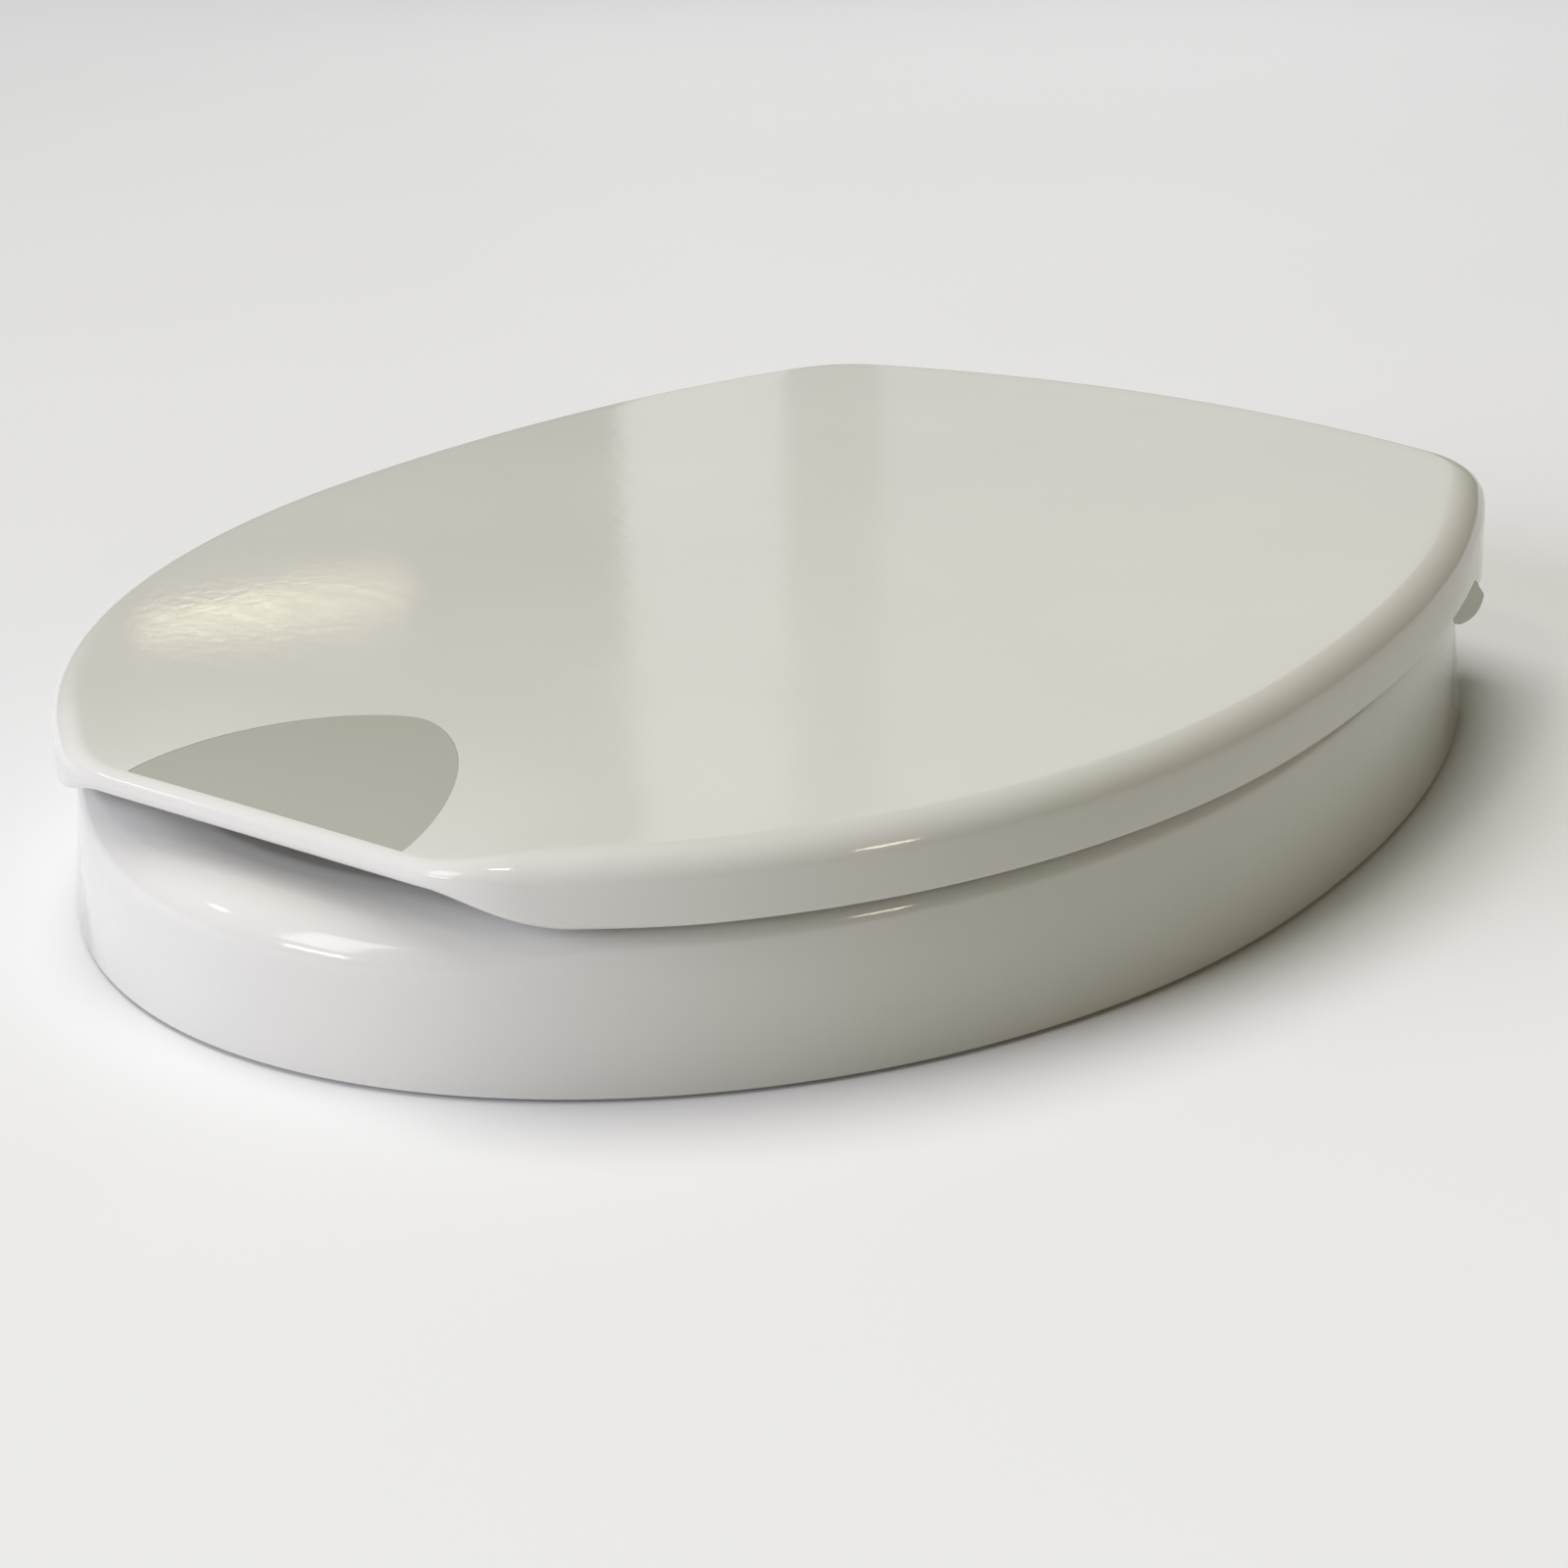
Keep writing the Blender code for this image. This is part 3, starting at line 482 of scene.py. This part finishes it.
def opening_side(angle):
    """Points over the rounded edge of the opening, down its wall and round its foot."""
    points = []
    for turn in reversed(fillet_angles(8)):
        spot = opening_point(angle, OPENING_EDGE * (1 - math.cos(turn)))
        top = sloped(RISER_TOP, spot.y)
        points.append((spot, top - OPENING_EDGE * (1 - math.sin(turn))))
    for turn in fillet_angles(2):
        spot = opening_point(angle, RISER_FOOT_ROUND * (1 - math.cos(turn)))
        points.append((spot, RISER_FOOT_Z + RISER_FOOT_ROUND * (1 - math.sin(turn))))
    points.append((opening_point(angle, RISER_WALL), RISER_FOOT_Z))
    return points


def riser_inside(point, normal, angle, edge, reach):
    """Points inside the hollow, from the opening's wall over its ceiling to the outer wall's foot."""
    shoulder = sloped(RISER_TOP, point.y) - edge
    inner_edge = OPENING_EDGE - RISER_WALL
    points = []
    for turn in fillet_angles(3):
        spot = opening_point(angle, RISER_WALL + inner_edge * (1 - math.cos(turn)))
        top = sloped(RISER_TOP, spot.y) - RISER_WALL
        points.append((spot, top - inner_edge * (1 - math.sin(turn))))
    far = point + normal * (RISER_TAPER * shoulder + reach)
    points += dished(points[-1][0], far, CEILING_STEPS, RISER_WALL)
    for turn in reversed(fillet_angles(3)):
        inset = RISER_WALL + (reach - RISER_WALL) * (1 - math.cos(turn))
        spot = point + normal * (RISER_TAPER * shoulder + inset)
        points.append((spot, shoulder + (edge - RISER_WALL) * math.sin(turn)))
    points.append((point + normal * RISER_WALL, RISER_FOOT_Z))
    return points


def riser_section(point, normal):
    """Closed section of the hollow ring: up the outside, over the seat, down the opening, back inside."""
    angle = math.atan2(point.y - OPENING_Y, point.x)
    edge, reach = riser_edge(point.y)
    outside = riser_outside(point, normal, edge, reach)
    seat = dished(outside[-1][0], opening_point(angle, OPENING_EDGE), SEAT_STEPS, 0.0)
    return outside + seat + opening_side(angle) + riser_inside(point, normal, angle, edge, reach)


def riser_mesh():
    outline = riser_outline()
    sections = [riser_section(p, n) for p, n in zip(outline, inward_normals(outline))]
    rows = [[Vector((*spot, z)) for spot, z in level] for level in zip(*sections)]
    return loft(rows, close_rows=True)[0]


# ---------------------------------------------------------------- object helpers


def make_object(name, bm):
    bmesh.ops.recalc_face_normals(bm, faces=bm.faces[:])
    mesh = bpy.data.meshes.new(name)
    bm.to_mesh(mesh)
    bm.free()
    mesh.shade_smooth()
    obj = bpy.data.objects.new(name, mesh)
    bpy.context.scene.collection.objects.link(obj)
    return obj


def place(obj, body, node, material):
    """Finish a new piece: its material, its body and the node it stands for."""
    obj.data.materials.clear()
    obj.data.materials.append(material)
    obj.data.shade_smooth()
    obj.data.set_sharp_from_angle(angle=math.radians(SHARP_ANGLE))
    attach(obj, body)
    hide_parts(node)


def rod(radius, low, high, sides=ROD_SIDES, round_edge=0.0):
    """Closed cylinder between two points on one axis, with rounded rims if asked."""
    low = Vector(low)
    high = Vector(high)
    length = (high - low).length
    profile = [(0.0, 0.0)]
    for turn in fillet_angles(4) if round_edge else [0.0]:
        inset = round_edge * (1 - math.sin(turn))
        profile.append((radius - inset, round_edge * (1 - math.cos(turn))))
    for turn in reversed(fillet_angles(4)) if round_edge else [0.0]:
        inset = round_edge * (1 - math.sin(turn))
        profile.append((radius - inset, length - round_edge * (1 - math.cos(turn))))
    profile.append((0.0, length))
    bm = turned_mesh(profile, sides)
    turn = (high - low).to_track_quat("Z", "Y").to_matrix().to_4x4()
    bm.transform(Matrix.Translation(low) @ turn)
    return bm


def turned_mesh(profile, sides):
    """Solid turned about Z from (radius, height) points; a radius of 0 closes an end."""
    bm = bmesh.new()
    rows = []
    for radius, height in profile:
        if radius < 1e-7:
            rows.append([bm.verts.new((0.0, 0.0, height))])
            continue
        turns = [2 * math.pi * i / sides for i in range(sides)]
        rows.append([bm.verts.new((radius * math.cos(t), radius * math.sin(t), height)) for t in turns])
    for a, b in zip(rows, rows[1:]):
        for i in range(sides):
            k = (i + 1) % sides
            ring = [a[i % len(a)], a[k % len(a)], b[k % len(b)], b[i % len(b)]]
            corners = list(dict.fromkeys(ring))
            if len(corners) > 2:
                bm.faces.new(corners)
    return bm


def block(low, high):
    low = Vector(low)
    high = Vector(high)
    bm = bmesh.new()
    matrix = Matrix.Translation((low + high) / 2) @ Matrix.Diagonal((*(high - low), 1.0))
    bmesh.ops.create_cube(bm, size=1.0, matrix=matrix)
    return bm


def combine(obj, bm, operation):
    """Boolean with a throwaway solid, applied at once."""
    other = make_object("cutter", bm)
    modifier = obj.modifiers.new("combine", "BOOLEAN")
    modifier.operation = operation
    modifier.object = other
    modifier.solver = "EXACT"
    graph = bpy.context.evaluated_depsgraph_get()
    made = bpy.data.meshes.new_from_object(obj.evaluated_get(graph))
    obj.modifiers.clear()
    old = obj.data
    obj.data = made
    bpy.data.meshes.remove(old)
    mesh = other.data
    bpy.data.objects.remove(other)
    bpy.data.meshes.remove(mesh)


# ---------------------------------------------------------------- materials


class Nodes:
    """A material's node tree, with short calls for the few nodes that the finishes share."""

    def __init__(self, name, colour, roughness, metallic=0.0):
        self.material = bpy.data.materials.new(name)
        self.material.use_nodes = True
        self.tree = self.material.node_tree
        self.shader = self.tree.nodes["Principled BSDF"]
        self.shader.inputs["Base Color"].default_value = (*colour, 1.0)
        self.shader.inputs["Roughness"].default_value = roughness
        self.shader.inputs["Metallic"].default_value = metallic
        self.where = self.tree.nodes.new("ShaderNodeTexCoord").outputs["Object"]

    def link(self, output, target):
        self.tree.links.new(output, target)

    def noise(self, scale, detail=3.0, stretch=(1.0, 1.0, 1.0), turn=0.0):
        mapping = self.tree.nodes.new("ShaderNodeMapping")
        mapping.inputs["Scale"].default_value = stretch
        mapping.inputs["Rotation"].default_value = (0.0, 0.0, math.radians(turn))
        self.link(self.where, mapping.inputs["Vector"])
        noise = self.tree.nodes.new("ShaderNodeTexNoise")
        noise.inputs["Scale"].default_value = scale
        noise.inputs["Detail"].default_value = detail
        noise.inputs["Roughness"].default_value = NOISE_ROUGHNESS
        self.link(mapping.outputs["Vector"], noise.inputs["Vector"])
        return noise.outputs["Fac"]

    def remap(self, value, low, high, to_low, to_high):
        node = self.tree.nodes.new("ShaderNodeMapRange")
        self.link(value, node.inputs["Value"])
        numbers = {"From Min": low, "From Max": high, "To Min": to_low, "To Max": to_high}
        for name, number in numbers.items():
            node.inputs[name].default_value = number
        return node.outputs["Result"]

    def math(self, operation, a, b):
        node = self.tree.nodes.new("ShaderNodeMath")
        node.operation = operation
        for socket, value in zip(node.inputs, (a, b)):
            if isinstance(value, float):
                socket.default_value = value
            else:
                self.link(value, socket)
        return node.outputs["Value"]

    def blend_colours(self, share, first, second):
        node = self.tree.nodes.new("ShaderNodeMix")
        node.data_type = "RGBA"
        self.link(share, node.inputs["Factor"])
        for socket, value in ((node.inputs[6], first), (node.inputs[7], second)):
            if isinstance(value, tuple):
                socket.default_value = (*value, 1.0)
            else:
                self.link(value, socket)
        return node.outputs[2]

    def bump(self, height, distance, normal=None):
        node = self.tree.nodes.new("ShaderNodeBump")
        node.inputs["Strength"].default_value = 1.0
        node.inputs["Distance"].default_value = distance
        self.link(height, node.inputs["Height"])
        if normal is not None:
            self.link(normal, node.inputs["Normal"])
        return node.outputs["Normal"]


def shade(colour, factor):
    return tuple(min(1.0, c * factor) for c in colour)


def moulded_plastic(name, colour, roughness, peel, grain):
    """Plastic with faint clouding, fine specks, wiping marks in its gloss and a mould's orange peel."""
    nodes = Nodes(name, colour, roughness)
    cloud = nodes.remap(nodes.noise(9.0), 0.3, 0.7, 0.0, 1.0)
    tone = nodes.blend_colours(cloud, shade(colour, 0.975), shade(colour, 1.02))
    speck = nodes.remap(nodes.noise(1400.0, detail=1.0), 0.66, 0.80, 0.0, 0.12)
    tone = nodes.blend_colours(speck, tone, shade(colour, 0.72))
    nodes.link(tone, nodes.shader.inputs["Base Color"])
    wipes = nodes.noise(28.0, detail=4.0, stretch=(1.0, 5.0, 1.0), turn=32.0)
    smudges = nodes.noise(11.0, detail=2.0)
    wiped = nodes.remap(wipes, 0.35, 0.75, -0.02, 0.03)
    uneven = nodes.math("ADD", wiped, nodes.remap(smudges, 0.3, 0.7, -0.02, 0.03))
    nodes.link(nodes.math("ADD", uneven, roughness), nodes.shader.inputs["Roughness"])
    ripple = nodes.bump(nodes.noise(240.0, detail=1.0), peel)
    nodes.link(nodes.bump(nodes.noise(2600.0, detail=2.0), grain, ripple), nodes.shader.inputs["Normal"])
    nodes.shader.inputs["IOR"].default_value = 1.5
    return nodes.material


def steel(name, colour, roughness):
    """Drawn stainless steel with fine lines along its length and a cloudy polish."""
    nodes = Nodes(name, colour, roughness, metallic=1.0)
    lines = nodes.noise(900.0, detail=2.0, stretch=(1.0, 1.0, 0.06))
    share = nodes.remap(lines, 0.3, 0.7, 0.0, 1.0)
    tone = nodes.blend_colours(share, shade(colour, 0.88), shade(colour, 1.08))
    nodes.link(tone, nodes.shader.inputs["Base Color"])
    cloud = nodes.remap(nodes.noise(160.0), 0.3, 0.7, roughness - 0.07, roughness + 0.09)
    nodes.link(cloud, nodes.shader.inputs["Roughness"])
    nodes.link(nodes.bump(lines, 0.00002), nodes.shader.inputs["Normal"])
    return nodes.material


def rubber(name, colour):
    """Matt rubber with a dusty bloom and a fine pebbled skin."""
    nodes = Nodes(name, colour, 0.72)
    bloom = nodes.remap(nodes.noise(70.0, detail=4.0), 0.4, 0.7, 0.0, 0.5)
    dust = tuple(c * 0.7 + 0.07 for c in colour)
    nodes.link(nodes.blend_colours(bloom, colour, dust), nodes.shader.inputs["Base Color"])
    nodes.link(nodes.remap(nodes.noise(300.0), 0.3, 0.7, 0.62, 0.82), nodes.shader.inputs["Roughness"])
    nodes.link(nodes.bump(nodes.noise(1500.0, detail=3.0), 0.00006), nodes.shader.inputs["Normal"])
    return nodes.material


def studio_floor():
    nodes = Nodes("pale_floor", (0.76, 0.755, 0.75), 0.6)
    share = nodes.remap(nodes.noise(2.0), 0.3, 0.7, 0.0, 1.0)
    tone = nodes.blend_colours(share, (0.75, 0.745, 0.74), (0.77, 0.765, 0.76))
    nodes.link(tone, nodes.shader.inputs["Base Color"])
    return nodes.material


# ---------------------------------------------------------------- riser


def along_axis(sign, inner_x, outer_x):
    """Ends of a rod on the hinge axis at one side."""
    return (sign * inner_x, AXIS_Y, AXIS_Z), (sign * outer_x, AXIS_Y, AXIS_Z)


def add_fixing_solids(riser, sign):
    """Bolt tower, hinge block and knuckle at one side."""
    deck = sloped(RISER_TOP, 0.0) - DECK_DEPTH
    x = sign * BOLT_SPACING / 2
    combine(riser, rod(TOWER_RADIUS, (x, 0, FIXING_FLOOR_Z), (x, 0, deck)), "UNION")
    low_x, high_x = sorted((sign * KNUCKLE_INNER_X, sign * BLOCK_OUTER_X))
    hinge_block = block((low_x, BLOCK_FRONT_Y, FIXING_FLOOR_Z), (high_x, BLOCK_REAR_Y, deck))
    combine(riser, hinge_block, "UNION")
    near, far = along_axis(sign, KNUCKLE_INNER_X, KNUCKLE_OUTER_X)
    combine(riser, rod(KNUCKLE_RADIUS, near, far, SMOOTH_ROD_SIDES, KNUCKLE_ROUND), "UNION")


def cut_fixing_holes(riser, sign):
    """Bolt well and hole, ear pocket and pin bore at one side."""
    x = sign * BOLT_SPACING / 2
    well = rod(WELL_RADIUS, (x, 0, WELL_FLOOR_Z), (x, 0, WELL_TOP_Z), SMOOTH_ROD_SIDES)
    combine(riser, well, "DIFFERENCE")
    hole = rod(BOLT_RADIUS + BOLT_CLEARANCE, (x, 0, HOLE_BOTTOM_Z), (x, 0, HOLE_TOP_Z))
    combine(riser, hole, "DIFFERENCE")
    near, far = along_axis(sign, POCKET_START_X, POCKET_END_X)
    combine(riser, rod(POCKET_RADIUS, near, far, POCKET_SIDES), "DIFFERENCE")
    near, far = along_axis(sign, BORE_START_X, BORE_END_X)
    combine(riser, rod(PIN_RADIUS + GAP, near, far), "DIFFERENCE")


def build_riser(material):
    riser = make_object("riser_ring", riser_mesh())
    for sign in SIDES:
        add_fixing_solids(riser, sign)
    for sign in SIDES:
        cut_fixing_holes(riser, sign)
    place(riser, "riser", "riser_shell", material)


# ---------------------------------------------------------------- lid


def inlay_outline(margin):
    """Parabola-like outline with its straight side along the lip."""
    half_width = INLAY_HALF_WIDTH + margin
    depth = INLAY_REAR_Y - INLAY_FRONT_Y + 2 * margin
    points = []
    for i in range(INLAY_STEPS + 1):
        angle = math.pi * i / INLAY_STEPS
        c = math.cos(angle)
        x = half_width * math.copysign(abs(c) ** (2 / INLAY_POWER), c)
        y = INLAY_FRONT_Y - margin + depth * math.sin(angle) ** (2 / INLAY_POWER)
        points.append(Vector((x, y)))
    return points


def inlay_mesh(margin, above, below):
    """Plate that follows the lid's upper surface between two offsets from it."""
    arc = inlay_outline(margin)
    front = arc[0].y
    rows = []
    for k in range(INLAY_ROWS + 1):
        share = 1 - k / INLAY_ROWS
        rows.append([Vector((p.x, front + (p.y - front) * share)) for p in arc[1:-1]])
    bm = bmesh.new()
    layers = []
    for offset in (above, below):
        tips = [bm.verts.new((p.x, p.y, lid_top(p.x, p.y) + offset)) for p in (arc[0], arc[-1])]
        grid = [[bm.verts.new((p.x, p.y, lid_top(p.x, p.y) + offset)) for p in row] for row in rows]
        layers.append((grid, tips))
        for a, b in zip(grid, grid[1:]):
            for i in range(len(a) - 1):
                bm.faces.new((a[i], a[i + 1], b[i + 1], b[i]))
            bm.faces.new((a[0], b[0], tips[0]))
            bm.faces.new((a[-1], b[-1], tips[1]))
    borders = []
    for grid, tips in layers:
        borders.append([tips[0], *grid[0], tips[1], *reversed(grid[-1])])
    count = len(borders[0])
    for i in range(count):
        k = (i + 1) % count
        bm.faces.new((borders[0][i], borders[0][k], borders[1][k], borders[1][i]))
    return bm


def ear_point(turn):
    """Point of the ear's rounded square outline, as (y, z)."""
    c = math.cos(turn)
    s = math.sin(turn)
    reach = (abs(c) ** EAR_POWER + abs(s) ** EAR_POWER) ** (-1.0 / EAR_POWER)
    return Vector((EAR_Y + EAR_RADIUS * reach * c, EAR_Z + EAR_RADIUS * reach * s))


def ear_mesh(sign):
    """Rounded ear below, straight web up into the lid's roof, with rounded rims."""
    angles = [EAR_FIRST_ANGLE + EAR_SWEEP * i / EAR_STEPS for i in range(EAR_STEPS + 1)]
    points = [ear_point(math.radians(angle)) for angle in angles]
    roof = sloped(LID_EDGE_TOP, EAR_Y) - LID_WALL / 2
    points += [Vector((EAR_WEB_Y, EAR_WEB_Z)), Vector((EAR_WEB_Y, EAR_SLOPE_Z)), Vector((EAR_ROOF_Y, roof))]
    points.append(Vector((points[0].x, roof)))
    bm = bmesh.new()
    near = [bm.verts.new((sign * EAR_INNER_X, p.x, p.y)) for p in points]
    far = [bm.verts.new((sign * EAR_OUTER_X, p.x, p.y)) for p in points]
    bm.faces.new(near)
    bm.faces.new(list(reversed(far)))
    for i in range(len(near)):
        k = (i + 1) % len(near)
        bm.faces.new((near[i], far[i], far[k], near[k]))
    rims = [e for e in bm.edges if abs(e.verts[0].co.x - e.verts[1].co.x) < 1e-6]
    bmesh.ops.bevel(bm, geom=rims, offset=EAR_RIM_ROUND, segments=3, affect="EDGES", profile=0.5)
    return bm


def build_lid(material):
    lid = make_object("lid_cover", lid_mesh())
    for sign in SIDES:
        combine(lid, ear_mesh(sign), "UNION")
        near, far = along_axis(sign, EAR_INNER_X - BUSH_ENTRY, EAR_INNER_X + BUSH_DEPTH + GAP)
        combine(lid, rod(BUSH_RADIUS + GAP, near, far), "DIFFERENCE")
    combine(lid, inlay_mesh(INLAY_MARGIN, INLAY_CUT_TOP, -INLAY_POCKET), "DIFFERENCE")
    place(lid, "lid", "lid_shell", material)


def build_inlay(material):
    inlay = make_object("grey_grip_inlay", inlay_mesh(0.0, -INLAY_SINK, -INLAY_SINK - INLAY_THICKNESS))
    place(inlay, "lid", "grip_inlay", material)


# ---------------------------------------------------------------- carried-over nodes


def finish_nodes(finishes):
    """Give each shown node of the frame the finish that its name calls for."""
    for name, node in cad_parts.items():
        if node.hide_render:
            continue
        start = next(key for key in finishes if name.startswith(key))
        node.data.materials.clear()
        node.data.materials.append(finishes[start])


# ---------------------------------------------------------------- stage, lights, camera


def build_floor(material):
    """Plain floor at the pan's rim, with a hole for each pan bolt."""
    curve = bpy.data.curves.new("floor", "CURVE")
    curve.dimensions = "2D"
    curve.fill_mode = "BOTH"
    signs = ((-1, -1), (1, -1), (1, 1), (-1, 1))
    corners = [Vector((x * FLOOR_HALF, y * FLOOR_HALF)) for x, y in signs]
    holes = []
    for sign in SIDES:
        centre = Vector((sign * BOLT_SPACING / 2, 0.0))
        turns = [2 * math.pi * i / HOLE_SIDES for i in range(HOLE_SIDES)]
        holes.append([centre + Vector((math.cos(t), math.sin(t))) * FLOOR_HOLE_RADIUS for t in turns])
    for points in (corners, *holes):
        spline = curve.splines.new("POLY")
        spline.points.add(len(points) - 1)
        for target, point in zip(spline.points, points):
            target.co = (point.x, point.y, 0.0, 1.0)
        spline.use_cyclic_u = True
    floor = bpy.data.objects.new("floor", curve)
    floor.location.z = -FLOOR_DROP
    bpy.context.scene.collection.objects.link(floor)
    curve.materials.append(material)


def area_light(name, at, aim, size, power, colour, shape="RECTANGLE"):
    light = bpy.data.lights.new(name, "AREA")
    light.shape = shape
    light.size, light.size_y = size
    light.energy = power
    light.color = colour
    obj = bpy.data.objects.new(name, light)
    obj.location = at
    obj.rotation_euler = (Vector(aim) - Vector(at)).to_track_quat("-Z", "Y").to_euler()
    obj.visible_camera = False
    bpy.context.scene.collection.objects.link(obj)


def sun(name, at, aim, strength, colour):
    """Wide soft light from one direction, kept out of the gloss."""
    light = bpy.data.lights.new(name, "SUN")
    light.energy = strength
    light.angle = math.radians(SUN_SPREAD)
    light.color = colour
    obj = bpy.data.objects.new(name, light)
    obj.location = at
    obj.rotation_euler = (Vector(aim) - Vector(at)).to_track_quat("-Z", "Y").to_euler()
    obj.visible_camera = False
    obj.visible_glossy = False
    bpy.context.scene.collection.objects.link(obj)


def card(name, low_turn, high_turn, power):
    """Upright white panel behind the seat, mirrored in its top between two directions from the camera."""
    ends = []
    for turn in (low_turn, high_turn):
        angle = math.radians(CAMERA_YAW - turn)
        x = CAMERA_AT[0] - CARD_AWAY * math.sin(angle)
        ends.append(Vector((x, CAMERA_AT[1] + CARD_AWAY * math.cos(angle))))
    middle = (ends[0] + ends[1]) / 2
    size = ((ends[1] - ends[0]).length, CARD_HIGH - CARD_LOW)
    at = (middle.x, middle.y, (CARD_LOW + CARD_HIGH) / 2)
    area_light(name, at, (CAMERA_AT[0], CAMERA_AT[1], at[2]), size, power, WHITE)


def gleam(name, at, aim, size, strength, colour=WHITE, shape="RECTANGLE"):
    """Small lamp whose reflection is a bright spot on a rounded edge; its power follows from its area."""
    power = strength * math.pi * size[0] * size[1]
    area_light(name, at, aim, size, power, colour, shape)


def build_lights():
    """Two wide suns light the seat; cards and small lamps only make what its gloss mirrors."""
    seat = (0.0, -0.17, 0.04)
    ring_front = (0.04, -0.40, 0.046)
    lid_front = (-0.1, -0.27, 0.07)
    lip_end = (0.07, -0.38, 0.06)
    lid_side = (0.15, -0.31, 0.05)
    sun("window", (-1.0, -1.85, 0.55), seat, 2.62, (0.735, 0.762, 1.0))
    sun("ceiling", (-0.5, -0.10, 1.8), seat, 2.24, (0.97, 0.975, 0.97))
    card("wall_left", -3.1, 0.0, 0.375)
    card("wall_middle", 0.0, 1.81, 0.093)
    card("wall_right", 1.81, 13.0, 1.04)
    gleam("lamp", (-1.221, 0.726, 0.572), lid_front, (0.23, 0.017), 3.3, (1.0, 0.95, 0.62), "ELLIPSE")
    gleam("pane_high", (-0.74, -2.02, 1.12), ring_front, (0.62, 0.82), 4.2, COOL_WHITE)
    gleam("pane_low", (-0.77, -2.28, 0.47), ring_front, (0.55, 0.15), 11.0, COOL_WHITE)
    gleam("pane_small", (-1.56, -1.40, 1.03), ring_front, (0.20, 0.14), 7.0)
    gleam("lamp_right", (2.1, -0.67, 0.94), lid_side, (0.34, 0.26), 9.0, (1.0, 0.96, 0.70), "ELLIPSE")
    gleam("lamp_over", (-0.10, -1.40, 1.99), lip_end, (0.30, 0.14), 24.0, (1.0, 0.94, 0.70), "ELLIPSE")


def build_world():
    """Low warm fill light, with a pale backdrop where the camera sees past the floor."""
    world = bpy.data.worlds.new("studio")
    world.use_nodes = True
    tree = world.node_tree
    seen = tree.nodes.new("ShaderNodeLightPath").outputs["Is Camera Ray"]
    mix = tree.nodes.new("ShaderNodeMix")
    mix.data_type = "RGBA"
    tree.links.new(seen, mix.inputs["Factor"])
    mix.inputs[6].default_value = (*WORLD_FILL, 1.0)
    mix.inputs[7].default_value = (*BACKDROP, 1.0)
    tree.links.new(mix.outputs[2], tree.nodes["Background"].inputs["Color"])
    bpy.context.scene.world = world


def build_camera():
    yaw, pitch, roll = (math.radians(a) for a in (CAMERA_YAW, CAMERA_PITCH, CAMERA_ROLL))
    camera = bpy.data.cameras.new("camera")
    camera.lens = CAMERA_LENS
    camera.sensor_width = 36.0
    camera.clip_start = 0.01
    obj = bpy.data.objects.new("camera", camera)
    turn = Matrix.Rotation(yaw, 4, "Z") @ Matrix.Rotation(math.pi / 2 + pitch, 4, "X")
    turn = turn @ Matrix.Rotation(roll, 4, "Z")
    obj.matrix_world = Matrix.Translation(CAMERA_AT) @ turn
    bpy.context.scene.collection.objects.link(obj)
    bpy.context.scene.camera = obj


def main():
    shell = moulded_plastic("warm_grey_gloss", (0.60, 0.585, 0.53), 0.09, 0.00003, 0.000003)
    under = moulded_plastic("warm_grey_satin", (0.58, 0.57, 0.52), 0.38, 0.00002, 0.00002)
    insert = moulded_plastic("grey_green_insert", (0.395, 0.385, 0.33), 0.22, 0.00002, 0.000006)
    nylon = moulded_plastic("natural_nylon", (0.76, 0.76, 0.72), 0.42, 0.00001, 0.00001)
    bright_steel = steel("drawn_stainless", (0.60, 0.60, 0.61), 0.28)
    dark_rubber = rubber("dark_rubber", (0.09, 0.09, 0.092))
    build_riser(shell)
    build_lid(shell)
    build_inlay(insert)
    finish_nodes(
        {
            "base_plate": under,
            "base_screw": bright_steel,
            "rim_pad": dark_rubber,
            "pan_bolt": bright_steel,
            "bolt_washer": bright_steel,
            "bolt_cap": shell,
            "cone_washer": dark_rubber,
            "wing_nut": nylon,
            "hinge_pin": bright_steel,
            "hinge_bush": nylon,
            "lid_buffer": dark_rubber,
        }
    )
    build_floor(studio_floor())
    build_lights()
    build_world()
    build_camera()
    bpy.context.scene.view_settings.view_transform = "Standard"


main()
